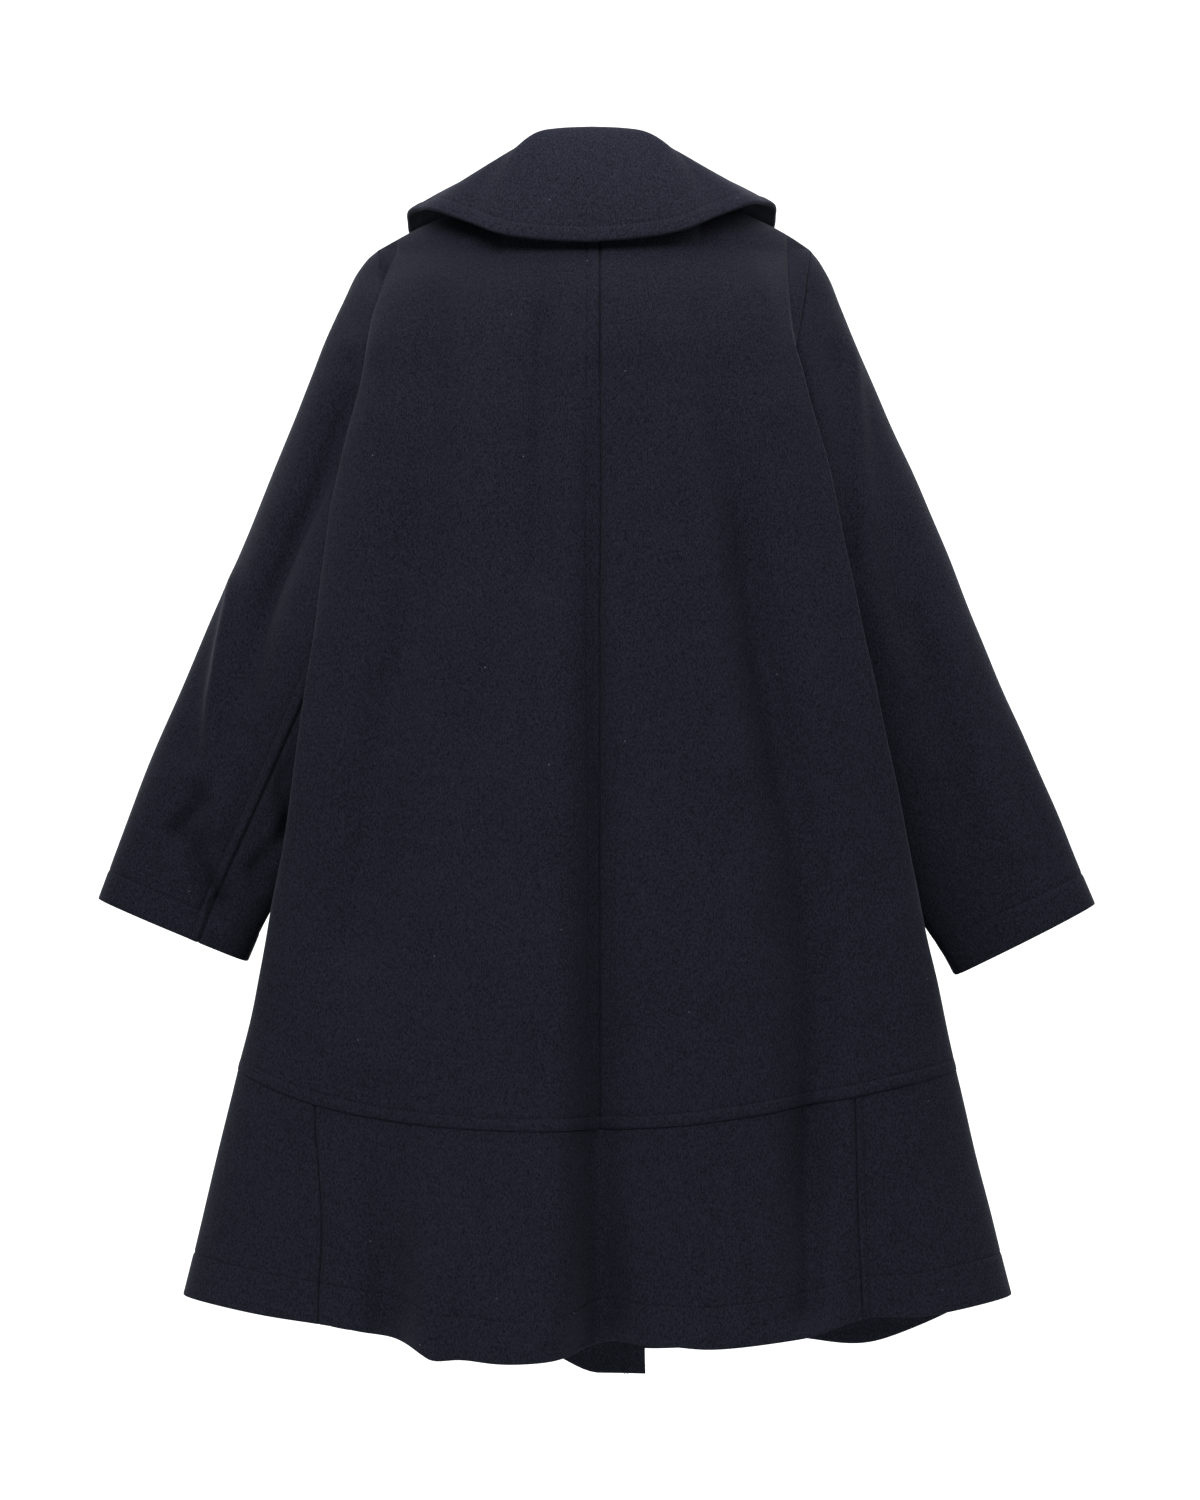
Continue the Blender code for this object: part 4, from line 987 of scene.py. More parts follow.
def make_band_side(side, look):
    """The hem band from an upright seam round the side to the front edge."""
    rows = band_rows()
    z = mix(BAND_SEAM_Z, HEM_Z, rows)
    near = sewn_marks((JOIN_TOPSTITCH,), NARROW_REACH)
    join = [station_at(side, join_x(side, rows) + mark, z, False) for mark in near]
    front = sewn_marks((EDGE_TOPSTITCH,), SEWN_REACH)
    edge = front_edge_stations(side, front, BAND_SEAM_Z, HEM_Z, rows)[::-1]
    turns = [np.full_like(rows, station) for station in
             (BACK_FOLD_STATION, SIDE_STATION, FRONT_SIDE_STATION, FRONT_FOLD_STATION)]
    lengths = [BAND_FOLD_RUN, BAND_SIDE_RUN, 0.0, BAND_SIDE_RUN, BAND_FRONT_RUN + OVERLAP[side]]
    columns = fill_columns(join + turns + edge, unfilled(near) + lengths + unfilled(front), STEP)
    shares = np.broadcast_to(rows[:, None], columns.shape)
    points = band_point(side, columns, shares)
    normals = outward(band_point, side, columns, shares, ((TOP, AXIS_Z), (FIRST, AXIS_Z)))
    across = side * points[..., AXIS_X]
    past = np.where(columns < BACK_FOLD_STATION, across - join_x(side, shares), FAR)
    heights = mix(BAND_SEAM_Z, HEM_Z, shares)
    relief = sewn_seam(past, JOIN_TOPSTITCH, heights) if side == RIGHT else plain_seam(past)
    from_edge = np.where(columns > FRONT_FOLD_STATION, across + OVERLAP[side], FAR)
    relief = relief + turned_hem(from_edge, EDGE_TOPSTITCH, heights)
    sewn = [-1 - front.index(EDGE_TOPSTITCH)]
    if side == RIGHT:
        sewn.append(near.index(JOIN_TOPSTITCH))
    finish_band("band_" + SIDES[side], columns, shares, points, normals, relief, from_edge, sewn, look)


def sleeve_rise(side, x, z):
    """How far a sleeve stands up where the fold of the back lies on it."""
    past = side * x - read_table(BODY, "ridge_" + SIDES[side], z)
    rise, out = (read_table(SLEEVE_RISE[side], name, z) for name in ("rise", "out"))
    beyond = np.clip(1.0 - past / out, 0.0, 1.0) ** RISE_CURVE
    return rise * np.where(past > 0.0, beyond, smooth(1.0 + past / RISE_IN))


def make_sleeve_half(side, half, first, last, look):
    """One half of a sleeve between its two seams, from the armhole to the cuff."""
    girth = SLEEVE_ROUND * (last - first) / (2.0 * math.pi)
    near = sewn_marks((SLEEVE_TOPSTITCH,), NARROW_REACH)
    pace = girth / (last - first)
    start = [first + mark / pace for mark in near]
    end = [last - mark / pace for mark in near][::-1]
    angles = fill_columns(start + end, unfilled(near) + [girth] + unfilled(near), STEP)
    cuff_pace = mix(CUFF_PACE_INNER, CUFF_PACE_OUTER, (1.0 + np.cos(angles)) / 2.0)
    cuff = sewn_marks((CUFF_HEM,), CUFF_REACH)
    rows = [np.zeros_like(angles)] + [1.0 - mark / cuff_pace for mark in cuff][::-1]
    lengths = [SLEEVE_LENGTH] + np.diff(cuff)[::-1].tolist()
    shares = fill_columns(rows, lengths, STEP).T
    columns = np.broadcast_to(angles, shares.shape)
    points = sleeve_point(side, columns, shares)
    normals = outward(sleeve_point, side, columns, shares, ((TOP, AXIS_X),))
    x = points[..., AXIS_X]
    z = points[..., AXIS_Z]
    behind, before = (smooth(way * np.sin(columns) * SLEEVE_FACE) for way in (1.0, -1.0))
    creases = crease_depth(SLEEVE_CREASES[side], x, z) * behind
    creases = creases + crease_depth(SLEEVE_FRONT_CREASES, side * x, z) * before
    relief = creases * smooth(shares / CAP_CREASE_FADE) + uneven(x, z)
    relief += sleeve_rise(side, x, z) * behind
    from_cuff = (1.0 - shares) * cuff_pace
    relief += turned_hem(from_cuff, CUFF_HEM, columns * pace)
    relief += plain_seam((columns - first) * pace)
    from_last = (last - columns) * pace
    stitched = half == "upper" and side == LEFT
    if stitched:
        relief += SLEEVE_SEWN * sewn_seam(from_last, SLEEVE_TOPSTITCH, shares)
    else:
        relief += plain_seam(from_last)
    outer = points + normals * relief[..., None]
    name = "sleeve_" + SIDES[side] + "_" + half
    sew(name, outer, normals, nearest(from_cuff[:, 0], CUFF_HEM))
    if stitched:
        sew(name, outer, normals, (ALL, -1 - near.index(SLEEVE_TOPSTITCH)))
    finish_cloth(name, outer, normals, CLOTH, from_cuff, look)


def make_collar(look):
    """Stand and fall of the collar in one, stitched along its edge."""
    near = sewn_marks((COLLAR_TOPSTITCH,), SEWN_REACH)
    start = [mark / COLLAR_PACE - COLLAR_END for mark in near]
    end = [-angle for angle in start][::-1]
    angles = fill_columns(start + end, unfilled(near) + [COLLAR_RUN] + unfilled(near), STEP)
    edge, beside = (collar_point(RIGHT, angles, np.full_like(angles, share))
                    for share in (COLLAR_EDGE, COLLAR_EDGE - COLLAR_EDGE_STEP))
    pace = np.linalg.norm(edge - beside, axis=-1) / COLLAR_EDGE_STEP
    low = [COLLAR_EDGE - mark / pace for mark in near][::-1]
    rows = [np.zeros_like(angles), np.ones_like(angles)] + low
    shares = fill_columns(rows, [STAND_LENGTH, FALL_LENGTH] + unfilled(near), STEP).T
    columns = np.broadcast_to(angles, shares.shape)
    points = collar_point(RIGHT, columns, shares)
    normals = outward(collar_point, RIGHT, columns, shares, ((TOP, AXIS_Z),))
    from_edge = (COLLAR_EDGE - shares) * pace
    from_start = np.linalg.norm(points - points[:, :1], axis=-1)
    from_end = np.linalg.norm(points - points[:, -1:], axis=-1)
    free = np.minimum(from_edge, np.minimum(from_start, from_end))
    fall = smooth((shares - 1.0) * FALL_SPEED)
    place = points[..., AXIS_X] * COLLAR_PUCKER
    relief = uneven(points[..., AXIS_X], points[..., AXIS_Z]) * fall
    relief += turned_hem(free, COLLAR_TOPSTITCH, place) * COLLAR_SEWN * fall
    relief += COLLAR_ROLL_EDGE * np.sin(np.pi * np.clip(free / COLLAR_TOPSTITCH, 0.0, 1.0)) * fall
    outer = points + normals * (relief + COLLAR_CLOTH / 2.0)[..., None]
    at = near.index(COLLAR_TOPSTITCH)
    row = shares.shape[0] - 1 - at
    fallen = slice(nearest(shares[:, 0], COLLAR_STITCH_TOP), row + 1)
    sew("collar", outer, normals, (row, slice(at, columns.shape[1] - at)))
    sew("collar", outer, normals, (fallen, at))
    sew("collar", outer, normals, (fallen, -1 - at))
    finish_cloth("collar", outer, normals, COLLAR_CLOTH, free, look)


class Field:
    """A value that varies from place to place: a node's socket that takes part in sums."""

    def __init__(self, nodes, socket):
        self.nodes = nodes
        self.socket = socket

    def joined(self, operation, other):
        return self.nodes.field("ShaderNodeMath", {"operation": operation}, {0: self, 1: other})

    def __add__(self, other):
        return self.joined("ADD", other)

    def __sub__(self, other):
        return self.joined("SUBTRACT", other)

    def __rsub__(self, other):
        return self.nodes.field("ShaderNodeMath", {"operation": "SUBTRACT"}, {0: other, 1: self})

    def __mul__(self, other):
        return self.joined("MULTIPLY", other)

    __radd__ = __add__
    __rmul__ = __mul__

    def __lt__(self, other):
        return self.joined("LESS_THAN", other)

    def __gt__(self, other):
        return self.joined("GREATER_THAN", other)


# Sockets of a Mix node that mixes colours
MIX_SHARE, MIX_FIRST, MIX_SECOND, MIX_RESULT = 0, 6, 7, 2

# What a noise looks like, how far it stands out, and what it does to the roughness
Grain = namedtuple("Grain", "scale detail roughness")
Relief = namedtuple("Relief", "strength distance")
Gloss = namedtuple("Gloss", "least more")


class Nodes:
    """A node tree of a material, a world or a modifier, built one node at a time."""

    def __init__(self, tree):
        self.tree = tree
        tree.nodes.clear()

    def node(self, kind, settings=None, sockets=None):
        """Add a node, set what it does, then set or link its sockets."""
        node = self.tree.nodes.new(kind)
        for name, value in (settings or {}).items():
            setattr(node, name, value)
        for name, value in (sockets or {}).items():
            source = value.socket if isinstance(value, Field) else value
            if isinstance(source, bpy.types.NodeSocket):
                self.tree.links.new(source, node.inputs[name])
            else:
                node.inputs[name].default_value = source
        return node

    def field(self, kind, settings=None, sockets=None, output=0):
        return Field(self, self.node(kind, settings, sockets).outputs[output])

    def place(self, kind="Object"):
        return self.field("ShaderNodeTexCoord", output=kind)

    def stretched(self, where, scale):
        return self.field("ShaderNodeMapping", {}, {"Vector": where, "Scale": scale})

    def noise(self, where, grain):
        sizes = {"Scale": grain.scale, "Detail": grain.detail, "Roughness": grain.roughness}
        return self.field("ShaderNodeTexNoise", {"noise_dimensions": "3D"}, {"Vector": where, **sizes})

    def blend(self, share, first, second):
        """Mix two colours, or fields of colour, by a share."""
        return self.field("ShaderNodeMix", {"data_type": "RGBA"},
                          {MIX_SHARE: share, MIX_FIRST: first, MIX_SECOND: second}, MIX_RESULT)

    def close(self, base, grain, gloss, height, relief, constants):
        """Feed what varies to a Principled shader and set the rest on its own sockets."""
        normal = self.field("ShaderNodeBump", {}, {"Height": height, "Strength": relief.strength,
                                                   "Distance": relief.distance})
        varying = {"Base Color": base, "Roughness": grain * gloss.more + gloss.least, "Normal": normal}
        surface = self.field("ShaderNodeBsdfPrincipled", {}, {**varying, **constants})
        self.node("ShaderNodeOutputMaterial", {}, {"Surface": surface})


def colour(values, share=1.0):
    return (*(share * value for value in values), 1.0)


def new_material(name):
    material = bpy.data.materials.new(name)
    material.use_nodes = True
    return material, Nodes(material.node_tree)


# Wool
NAP_STRETCH = (1.0, 1.0, 0.45)
FIBRE = Grain(1050.0, 3.0, 0.6)
FELT = Grain(600.0, 3.0, 0.6)
CLOUD = Grain(14.0, 2.0, 0.5)
MIDDLE = 0.5
FIBRE_TONE = 3.2
FELT_TONE = 0.7
CLOUD_TONE = 0.2
FIBRE_HEIGHT = 0.6
FELT_HEIGHT = 0.8
WOOL_RELIEF = Relief(0.55, 0.0008)
WOOL_GLOSS = Gloss(0.84, 0.12)
WOOL_SPECULAR = 0.05
SHEEN_ROUGHNESS = 0.35
LINT_SCALE = 95.0
LINT_SIZE = 0.05
LINT_SELDOM = 0.955
LINT_COLOUR = (0.110, 0.115, 0.140)
# How much lighter the collar's wool is painted: painted light for the brighter light on the collar
COLLAR_PAINTED_LIGHT = 1.26


def wool_material(look, name="navy_wool", lift=1.0):
    """Dense brushed wool: short fibres, a felted ground and a little lint."""
    material, shading = new_material(name)
    where = shading.place()
    fibre = shading.noise(shading.stretched(where, NAP_STRETCH), FIBRE)
    felt = shading.noise(where, FELT)
    cloud = shading.noise(where, CLOUD)
    tone = (fibre - MIDDLE) * FIBRE_TONE + (felt - MIDDLE) * FELT_TONE
    tone = tone + (cloud - MIDDLE) * CLOUD_TONE + MIDDLE
    tone = shading.field("ShaderNodeClamp", {}, {"Value": tone})
    # A lift above 1 paints the wool lighter; the collar's copy uses it as painted light
    base = shading.blend(tone, colour(look.wool_dark, lift), colour(look.wool_light, lift))
    specks = shading.node("ShaderNodeTexVoronoi", {}, {"Vector": where, "Scale": LINT_SCALE}).outputs
    near = Field(shading, specks["Distance"]) < LINT_SIZE
    chosen = shading.field("ShaderNodeSeparateColor", {}, {"Color": specks["Color"]})
    base = shading.blend(near * (chosen > LINT_SELDOM), base, colour(LINT_COLOUR))
    constants = {"Sheen Weight": look.sheen, "Sheen Roughness": SHEEN_ROUGHNESS,
                 "Specular IOR Level": WOOL_SPECULAR, "Sheen Tint": colour(look.sheen_tint)}
    height = fibre * FIBRE_HEIGHT + felt * FELT_HEIGHT
    shading.close(base, fibre, WOOL_GLOSS, height, WOOL_RELIEF, constants)
    return material


def collar_wool_painted_light_material(look):
    """The same wool painted lighter: painted light standing in for the stronger light that falls on the
    collar.
    """
    return wool_material(look, "navy_wool_collar_painted_light", COLLAR_PAINTED_LIGHT)


# Thread
TWIST = Grain(1600.0, 2.0, 0.5)
TWIST_DARK = 0.6
THREAD_RELIEF = Relief(0.4, 0.0003)
THREAD_GLOSS = Gloss(0.7, 0.2)
THREAD_SPECULAR = 0.1


def thread_material(look):
    """Twisted sewing thread, close to the cloth in colour."""
    material, shading = new_material("navy_thread")
    twist = shading.noise(shading.place(), TWIST)
    base = shading.blend(twist, colour(look.thread, TWIST_DARK), colour(look.thread))
    shading.close(base, twist, THREAD_GLOSS, twist, THREAD_RELIEF, {"Specular IOR Level": THREAD_SPECULAR})
    return material


# Horn
HORN_STRETCH = (1.0, 1.0, 0.25)
STREAK = Grain(160.0, 4.0, 0.6)
SCRATCH = Grain(900.0, 2.0, 0.5)
STREAK_DARK = 0.5
STREAK_PALE = 3.0
HORN_RELIEF = Relief(0.08, 0.0002)
HORN_GLOSS = Gloss(0.24, 0.12)
HORN_COAT_ROUGHNESS = 0.15


def horn_material(look):
    """Polished dark horn with slow streaks."""
    material, shading = new_material("dark_horn")
    where = shading.place()
    streak = shading.noise(shading.stretched(where, HORN_STRETCH), STREAK)
    scratch = shading.noise(where, SCRATCH)
    base = shading.blend(streak, colour(look.horn, STREAK_DARK), colour(look.horn, STREAK_PALE))
    constants = {"Coat Roughness": HORN_COAT_ROUGHNESS}
    shading.close(base, scratch, HORN_GLOSS, scratch, HORN_RELIEF, constants)
    return material


# Floor
FLOOR_GRAIN = Grain(40.0, 3.0, 0.5)
FLOOR_DARK = (0.80, 0.80, 0.80)
FLOOR_LIGHT = (0.84, 0.84, 0.84)
FLOOR_RELIEF = Relief(0.05, 0.001)
FLOOR_GLOSS = Gloss(0.8, 0.1)
FLOOR_SPECULAR = 0.2


def floor_material():
    """Pale painted floor."""
    material, shading = new_material("pale_floor")
    grain = shading.noise(shading.place(), FLOOR_GRAIN)
    base = shading.blend(grain, colour(FLOOR_DARK), colour(FLOOR_LIGHT))
    shading.close(base, grain, FLOOR_GLOSS, grain, FLOOR_RELIEF, {"Specular IOR Level": FLOOR_SPECULAR})
    return material


# Stitches
STITCH_SIDES = 8
STITCH_RINGS = 4
STITCH_FLAT = 0.7
STITCH_SEED = 7
STITCH_LEAST = 0.85
STITCH_MOST = 1.1
STITCH_RADIUS = 0.5

# Sockets of a Random Value node that gives a number
RANDOM_LEAST, RANDOM_MOST, RANDOM_RESULT = 2, 3, 1


def stitch_tree():
    """Geometry Nodes that lay stitches along lines of a mesh, each turned with the cloth."""
    tree = bpy.data.node_groups.new("lay_stitches", "GeometryNodeTree")
    inputs = (("Lines", "NodeSocketGeometry"), ("Pitch", "NodeSocketFloat"), ("Length", "NodeSocketFloat"),
              ("Width", "NodeSocketFloat"), ("Thread", "NodeSocketMaterial"))
    for name, kind in inputs:
        tree.interface.new_socket(name, in_out="INPUT", socket_type=kind)
    tree.interface.new_socket("Stitches", in_out="OUTPUT", socket_type="NodeSocketGeometry")
    nodes = Nodes(tree)
    given = nodes.node("NodeGroupInput").outputs
    width = Field(nodes, given["Width"])
    curve = nodes.field("GeometryNodeMeshToCurve", {}, {"Mesh": given["Lines"]})
    line = nodes.field("GeometryNodeResampleCurve", {"mode": "LENGTH"},
                       {"Curve": curve, "Length": given["Pitch"]})
    up = nodes.field("GeometryNodeInputNamedAttribute", {"data_type": "FLOAT_VECTOR"}, {"Name": "up"},
                     "Attribute")
    tangent = nodes.field("GeometryNodeInputTangent")
    turn = nodes.field("FunctionNodeAxesToRotation", {"primary_axis": "X", "secondary_axis": "Z"},
                       {0: tangent, 1: up})
    size = nodes.field("ShaderNodeCombineXYZ", {},
                       {"X": given["Length"], "Y": width, "Z": width * STITCH_FLAT})
    vary = nodes.field("FunctionNodeRandomValue", {"data_type": "FLOAT"},
                       {RANDOM_LEAST: STITCH_LEAST, RANDOM_MOST: STITCH_MOST, "Seed": STITCH_SEED},
                       RANDOM_RESULT)
    scale = nodes.field("ShaderNodeVectorMath", {"operation": "SCALE"}, {0: size, "Scale": vary})
    stitch = nodes.field("GeometryNodeMeshUVSphere", {},
                         {"Segments": STITCH_SIDES, "Rings": STITCH_RINGS, "Radius": STITCH_RADIUS})
    laid = nodes.field("GeometryNodeInstanceOnPoints", {},
                       {"Points": line, "Instance": stitch, "Rotation": turn, "Scale": scale})
    real = nodes.field("GeometryNodeRealizeInstances", {}, {0: laid})
    even = nodes.field("GeometryNodeSetShadeSmooth", {}, {0: real})
    done = nodes.field("GeometryNodeSetMaterial", {}, {"Geometry": even, "Material": given["Thread"]})
    nodes.node("NodeGroupOutput", {}, {0: done})
    return tree


def line_mesh(name, lines):
    """A mesh of open lines that carries the cloth's direction at each point."""
    vertices = []
    ups = []
    edges = []
    for line in lines:
        first = len(vertices)
        vertices += line.points.tolist()
        ups += line.normals.tolist()
        edges += [(k, k + 1) for k in range(first, len(vertices) - 1)]
    mesh = bpy.data.meshes.new(name)
    mesh.from_pydata(vertices, edges, [])
    direction = mesh.attributes.new("up", "FLOAT_VECTOR", "POINT")
    direction.data.foreach_set("vector", np.array(ups, dtype=np.float32).ravel())
    return mesh


def make_stitches(node, look):
    """Stitch the lines that were kept for a piece, as one mesh."""
    name = node + "_stitches"
    thing = add_object(name + "_lines", line_mesh(name + "_lines", STITCHES.pop(node)))
    tree = bpy.data.node_groups.get("lay_stitches") or stitch_tree()
    modifier = thing.modifiers.new("stitches", "NODES")
    modifier.node_group = tree
    values = {"Pitch": look.stitch_pitch, "Length": look.stitch_length, "Width": look.stitch_width,
              "Thread": thread(look)}
    for item in tree.interface.items_tree:
        if item.in_out == "INPUT" and item.name in values:
            modifier[item.identifier] = values[item.name]
    bpy.context.view_layer.update()
    evaluated = thing.evaluated_get(bpy.context.evaluated_depsgraph_get())
    mesh = bpy.data.meshes.new_from_object(evaluated)
    mesh.name = name
    bpy.data.objects.remove(thing)
    stitches = add_object(name, mesh)
    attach(stitches, "root")
    return stitches


# Buttons
BUTTON_RADIUS = 0.014
BUTTON_THICK = 0.0045
BUTTON_SEAT = 0.0004
BUTTON_COLUMN = 0.058
BUTTON_TOP_Z = -0.175
BUTTON_PITCH = 0.140
BUTTON_ROWS = 3
BUTTON_SIDES = 48
BUTTON_HOLE = 0.0011
BUTTON_HOLE_AT = 0.0024
BUTTON_HOLE_SIDES = 12
BUTTON_DISH = 0.60
BUTTON_SHARP = math.radians(40.0)
DRILL_LENGTH = 4.0 * BUTTON_THICK
MERGE = 1e-6
THREAD_RADIUS = 0.0005
THREAD_RISE = 0.0007
THREAD_STEPS = 8

# Half section of a button: distance from its middle and height, as shares of its sizes
BUTTON_SECTION = (
    (0.00, 0.00), (0.88, 0.00), (0.96, 0.10), (1.00, 0.32), (1.00, 0.62), (0.97, 0.86), (0.91, 0.98),
    (0.84, 1.00), (0.77, 0.95), (0.70, 0.80), (0.62, 0.68), (0.50, 0.62), (0.30, BUTTON_DISH),
    (0.00, BUTTON_DISH),
)


def turned_mesh(name, section, sides):
    """Turn a half section round the upright axis."""
    builder = bmesh.new()
    points = [builder.verts.new((x, 0.0, z)) for x, z in section]
    edges = [builder.edges.new(pair) for pair in zip(points, points[1:])]
    bmesh.ops.spin(builder, geom=points + edges, cent=(0.0, 0.0, 0.0), dvec=(0.0, 0.0, 0.0),
                   axis=(0.0, 0.0, 1.0), angle=2.0 * math.pi, steps=sides)
    bmesh.ops.remove_doubles(builder, verts=builder.verts, dist=MERGE)
    bmesh.ops.recalc_face_normals(builder, faces=builder.faces)
    return mesh_from(builder, name)


def button_mesh(material):
    """A dished button with a rounded rim and four holes."""
    section = [(x * BUTTON_RADIUS, z * BUTTON_THICK) for x, z in BUTTON_SECTION]
    blank = add_object("button_blank", turned_mesh("button_blank", section, BUTTON_SIDES))
    drill = bmesh.new()
    for x in (-BUTTON_HOLE_AT, BUTTON_HOLE_AT):
        for y in (-BUTTON_HOLE_AT, BUTTON_HOLE_AT):
            bmesh.ops.create_cone(drill, cap_ends=True, segments=BUTTON_HOLE_SIDES, radius1=BUTTON_HOLE,
                                  radius2=BUTTON_HOLE, depth=DRILL_LENGTH,
                                  matrix=Matrix.Translation((x, y, 0.0)))
    cutter = add_object("button_drill", mesh_from(drill, "button_drill"))
    cut = blank.modifiers.new("holes", "BOOLEAN")
    cut.object = cutter
    bpy.context.view_layer.update()
    mesh = bpy.data.meshes.new_from_object(blank.evaluated_get(bpy.context.evaluated_depsgraph_get()))
    for thing in (blank, cutter):
        bpy.data.objects.remove(thing)
    mesh.materials.clear()
    mesh.materials.append(material)
    mesh.shade_smooth()
    mesh.set_sharp_from_angle(angle=BUTTON_SHARP)
    return mesh


def thread_mesh(material):
    """Two arched strands of thread that hold a button."""
    builder = bmesh.new()
    height = BUTTON_DISH * BUTTON_THICK
    for y in (-BUTTON_HOLE_AT, BUTTON_HOLE_AT):
        rings = []
        for k in range(THREAD_STEPS + 1):
            turn = math.pi * k / THREAD_STEPS
            x = -BUTTON_HOLE_AT * math.cos(turn)
            z = height + THREAD_RISE * math.sin(turn) - THREAD_RADIUS
            ring = []
            for step in range(STITCH_SIDES):
                swing = 2.0 * math.pi * step / STITCH_SIDES
                across = THREAD_RADIUS * math.sin(swing)
                out = THREAD_RADIUS * math.cos(swing)
                spot = (x - out * math.cos(turn), y + across, z + out * math.sin(turn))
                ring.append(builder.verts.new(spot))
            rings.append(ring)
        for low, high in zip(rings, rings[1:]):
            for k in range(STITCH_SIDES):
                after = (k + 1) % STITCH_SIDES
                builder.faces.new((low[k], low[after], high[after], high[k]))
        builder.faces.new(rings[0])
        builder.faces.new(rings[-1])
    bmesh.ops.recalc_face_normals(builder, faces=builder.faces)
    mesh = mesh_from(builder, "button_thread")
    mesh.materials.append(material)
    mesh.shade_smooth()
    return mesh


def button_seats():
    """Name and place of every button on the upper front."""
    for x in (-BUTTON_COLUMN, BUTTON_COLUMN):
        for row in range(BUTTON_ROWS):
            z = np.array([[BUTTON_TOP_Z - BUTTON_PITCH * row]])
            station = station_at(RIGHT, abs(x), z, True)
            station = station if x > 0.0 else FULL_TURN - station
            z_top = top_edge(RIGHT, np.minimum(station, FRONT_STATION))[1]
            share = (z - z_top) / (BAND_SEAM_Z - z_top)
            normal = Vector(outward(body_point, RIGHT, station, share)[0, 0])
            seat = Vector(body_point(RIGHT, station, share)[0, 0]) + normal * BUTTON_SEAT
            turn = normal.to_track_quat("Z", "Y").to_matrix().to_4x4()
            name = f"button_{'left' if x < 0.0 else 'right'}_{row + 1}"
            yield name, Matrix.Translation(seat) @ turn


def make_buttons(look):
    """Two upright rows of buttons, sewn on with thread."""
    button = button_mesh(material_of("dark_horn", horn_material, look))
    strands = thread_mesh(thread(look))
    for name, place in button_seats():
        for source, ending, slot in ((button, "_horn", "horn"), (strands, "_thread", "wool")):
            mesh = source.copy()
            mesh.transform(place)
            thing = add_object(name + ending, mesh)
            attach(thing, "root")
            if source is button:
                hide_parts(name)


# Stage
FLOOR_Z = -1.36
FLOOR_RADIUS = 1.9
FLOOR_SIDES = 96
CAMERA_Y = -5.0
CAMERA_Z = -0.462
VIEW_HEIGHT = 1.26
VIEW_PLANE_Y = -0.06
SENSOR = 36.0
WALL = (1.40, 1.40, 1.40)
ROOM = (0.155, 0.177, 0.162)
WALL_START = 0.25
WALL_FULL = 0.75
CEILING_LEAN = 0.5


def make_floor():
    """A round pale floor at the wearer's feet."""
    builder = bmesh.new()
    bmesh.ops.create_circle(builder, cap_ends=True, segments=FLOOR_SIDES, radius=FLOOR_RADIUS,
                            matrix=Matrix.Translation((0.0, 0.0, FLOOR_Z)))
    mesh = mesh_from(builder, "floor")
    mesh.materials.append(floor_material())
    floor = add_object("floor", mesh)


def make_world():
    """A white wall and ceiling before the coat and a dim room behind its back."""
    world = bpy.data.worlds.new("studio")
    world.use_nodes = True
    bpy.context.scene.world = world
    shading = Nodes(world.node_tree)
    way = shading.place("Generated")
    parts = shading.node("ShaderNodeSeparateXYZ", {}, {"Vector": way}).outputs
    ahead = Field(shading, parts["Y"]) + Field(shading, parts["Z"]) * CEILING_LEAN
    wall = shading.field("ShaderNodeMapRange", {"interpolation_type": "SMOOTHSTEP"},
                         {"Value": ahead, "From Min": WALL_START, "From Max": WALL_FULL})
    tint = shading.blend(wall, colour(ROOM), colour(WALL))
    light = shading.field("ShaderNodeBackground", {}, {"Color": tint})
    shading.node("ShaderNodeOutputWorld", {}, {"Surface": light})


Lamp = namedtuple("Lamp", "name x y z aim_z wide high power")
LAMPS = (
    Lamp("high_softbox", -0.25, -1.25, 1.15, -0.25, 1.9, 0.8, 37.5),
    Lamp("top_softbox", 0.00, -0.30, 1.20, -0.10, 1.6, 0.5, 7.0),
    Lamp("low_softbox", -0.20, -1.60, -1.20, -0.85, 1.2, 0.3, 1.8),
    Lamp("hem_softbox", 0.00, -0.75, -1.30, -1.00, 0.8, 0.15, 0.5),
    Lamp("far_left_softbox", -1.70, -1.30, -0.30, -0.60, 0.9, 1.3, 3.0),
    Lamp("left_softbox", -1.30, 0.80, 0.40, -0.25, 0.6, 0.9, 8.0),
    Lamp("front_softbox", 1.20, 1.40, 0.90, -0.35, 0.8, 0.8, 12.0),
    Lamp("right_softbox", 1.40, -0.10, 0.60, -0.15, 0.6, 0.7, 8.0),
)


def make_lamps():
    """Softboxes, each turned to a height on the coat's own axis."""
    for lamp in LAMPS:
        light = bpy.data.lights.new(lamp.name, "AREA")
        light.shape = "RECTANGLE"
        light.size = lamp.wide
        light.size_y = lamp.high
        light.energy = lamp.power
        thing = add_object(lamp.name, light)
        thing.location = (lamp.x, lamp.y, lamp.z)
        aim = Vector((0.0, 0.0, lamp.aim_z)) - thing.location
        thing.rotation_euler = aim.to_track_quat("-Z", "Y").to_euler()


def make_camera():
    """A level camera behind the coat, far enough off to keep it flat."""
    camera = bpy.data.cameras.new("camera")
    camera.sensor_width = SENSOR
    camera.lens = SENSOR * (VIEW_PLANE_Y - CAMERA_Y) / VIEW_HEIGHT
    thing = add_object("camera", camera)
    thing.location = (0.0, CAMERA_Y, CAMERA_Z)
    thing.rotation_euler = (QUARTER, 0.0, 0.0)
    bpy.context.scene.camera = thing


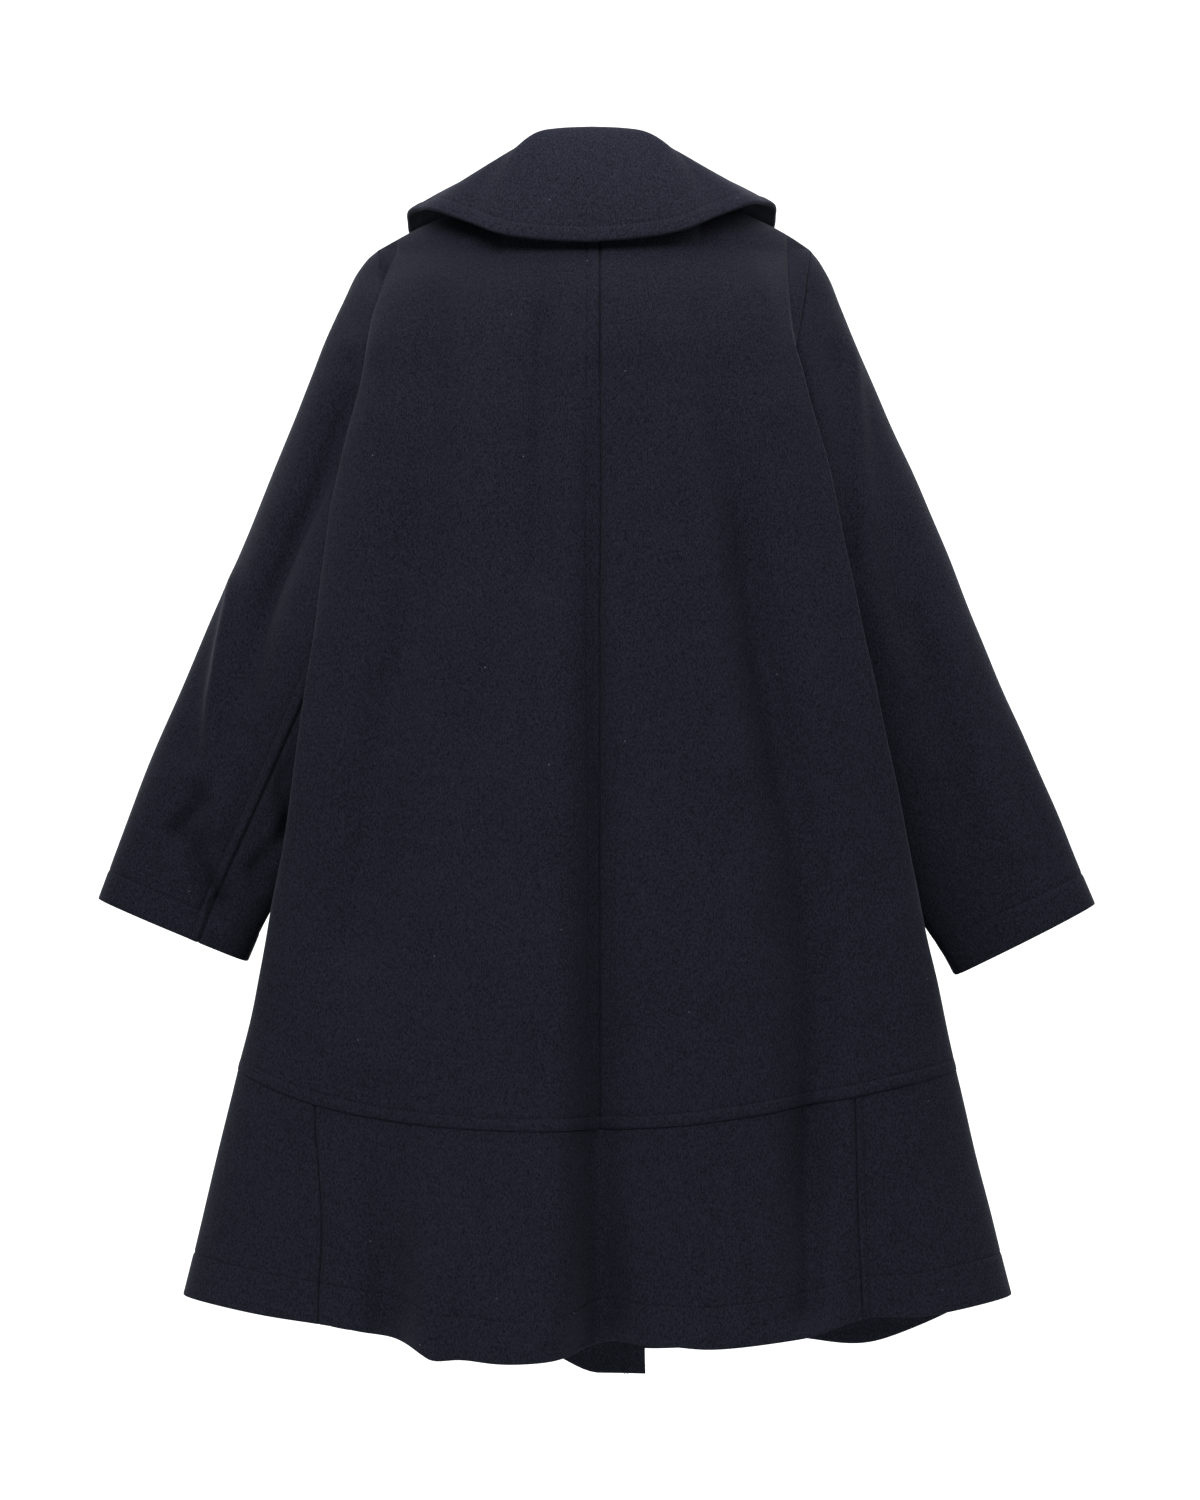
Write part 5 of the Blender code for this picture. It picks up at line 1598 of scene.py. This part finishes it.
class CoatLook(PropertyGroup):
    """Colours of the coat and sizes of its stitches."""

    wool_dark: FloatVectorProperty(
        name="Wool, dark", description="Colour of the wool between its fibres", subtype="COLOR",
        default=(0.0052, 0.0054, 0.0086), min=0.0, max=1.0)
    wool_light: FloatVectorProperty(
        name="Wool, light", description="Colour of the wool's fibre tips", subtype="COLOR",
        default=(0.0190, 0.0197, 0.0315), min=0.0, max=1.0)
    sheen: FloatProperty(
        name="Sheen", description="Strength of the fuzz that brightens the cloth's turning edges",
        default=0.06, min=0.0, max=1.0)
    sheen_tint: FloatVectorProperty(
        name="Sheen tint", description="Colour of the fuzz", subtype="COLOR",
        default=(0.75, 0.80, 1.0), min=0.0, max=1.0)
    thread: FloatVectorProperty(
        name="Thread", description="Colour of the sewing thread", subtype="COLOR",
        default=(0.0042, 0.0043, 0.0065), min=0.0, max=1.0)
    horn: FloatVectorProperty(
        name="Horn", description="Colour of the buttons", subtype="COLOR",
        default=(0.0080, 0.0080, 0.0100), min=0.0, max=1.0)
    stitch_pitch: FloatProperty(
        name="Stitch pitch", description="Distance from one stitch to the next",
        default=0.0028, min=0.001, max=0.02, unit="LENGTH", precision=4)
    stitch_length: FloatProperty(
        name="Stitch length", description="Length of thread that shows in a stitch",
        default=0.0018, min=0.0005, max=0.02, unit="LENGTH", precision=4)
    stitch_width: FloatProperty(
        name="Stitch width", description="Thickness of the thread",
        default=0.0007, min=0.0001, max=0.005, unit="LENGTH", precision=4)


def material_of(name, maker, look):
    """A material that is made once, when the first piece needs it."""
    return bpy.data.materials.get(name) or maker(look)


def wool(look):
    return material_of("navy_wool", wool_material, look)


# The lighter copy of the wool for the collar: painted light
def collar_wool_painted_light(look):
    return material_of("navy_wool_collar_painted_light", collar_wool_painted_light_material, look)


def thread(look):
    return material_of("navy_thread", thread_material, look)


class COAT_OT_backs(Operator):
    """Make both halves of the back"""

    bl_idname = "coat.backs"
    bl_label = "Backs"

    def execute(self, context):
        look = context.scene.coat_look
        for side in SIDES:
            make_back(side, look)
        return {"FINISHED"}


class COAT_OT_fronts(Operator):
    """Make both fronts, the right one over the left"""

    bl_idname = "coat.fronts"
    bl_label = "Fronts"

    def execute(self, context):
        look = context.scene.coat_look
        for side in SIDES:
            make_front(side, look)
        return {"FINISHED"}


class COAT_OT_bands(Operator):
    """Make the hem band, across the back and round both sides"""

    bl_idname = "coat.bands"
    bl_label = "Hem bands"

    def execute(self, context):
        look = context.scene.coat_look
        make_band_back(look)
        for side in SIDES:
            make_band_side(side, look)
        return {"FINISHED"}


class COAT_OT_sleeves(Operator):
    """Make the upper and under halves of both sleeves"""

    bl_idname = "coat.sleeves"
    bl_label = "Sleeves"

    def execute(self, context):
        look = context.scene.coat_look
        for side in SIDES:
            seam = SLEEVE_SEAM[side]
            make_sleeve_half(side, "upper", SLEEVE_FRONT_SEAM - 2.0 * math.pi, seam, look)
            make_sleeve_half(side, "under", seam, SLEEVE_FRONT_SEAM, look)
        return {"FINISHED"}


class COAT_OT_collar(Operator):
    """Make the collar, stand and fall in one"""

    bl_idname = "coat.collar"
    bl_label = "Collar"

    def execute(self, context):
        make_collar(context.scene.coat_look)
        return {"FINISHED"}


class COAT_OT_buttons(Operator):
    """Make the two rows of buttons"""

    bl_idname = "coat.buttons"
    bl_label = "Buttons"

    def execute(self, context):
        make_buttons(context.scene.coat_look)
        return {"FINISHED"}


class COAT_OT_stage(Operator):
    """Make the floor, the light and the camera"""

    bl_idname = "coat.stage"
    bl_label = "Stage"

    def execute(self, context):
        make_floor()
        make_world()
        make_lamps()
        make_camera()
        context.scene.view_settings.view_transform = "Standard"
        return {"FINISHED"}


STEPS = (COAT_OT_stage, COAT_OT_backs, COAT_OT_fronts, COAT_OT_bands, COAT_OT_sleeves, COAT_OT_collar,
         COAT_OT_buttons)


class COAT_PT_make(Panel):
    """Makes the coat piece by piece"""

    bl_idname = "COAT_PT_make"
    bl_label = "Double-breasted coat"
    bl_space_type = "VIEW_3D"
    bl_region_type = "UI"
    bl_category = "Coat"

    def draw(self, context):
        look = context.scene.coat_look
        for name in look.__annotations__:
            self.layout.prop(look, name)
        for step in STEPS:
            self.layout.operator(step.bl_idname)


CLASSES = (CoatLook, *STEPS, COAT_PT_make)


def register():
    for kind in CLASSES:
        bpy.utils.register_class(kind)
    bpy.types.Scene.coat_look = PointerProperty(type=CoatLook)


def unregister():
    del bpy.types.Scene.coat_look
    for kind in reversed(CLASSES):
        bpy.utils.unregister_class(kind)


def main():
    register()
    bpy.ops.coat.stage()
    bpy.ops.coat.backs()
    bpy.ops.coat.fronts()
    bpy.ops.coat.bands()
    bpy.ops.coat.sleeves()
    bpy.ops.coat.collar()
    bpy.ops.coat.buttons()


if __name__ == "__main__":
    main()
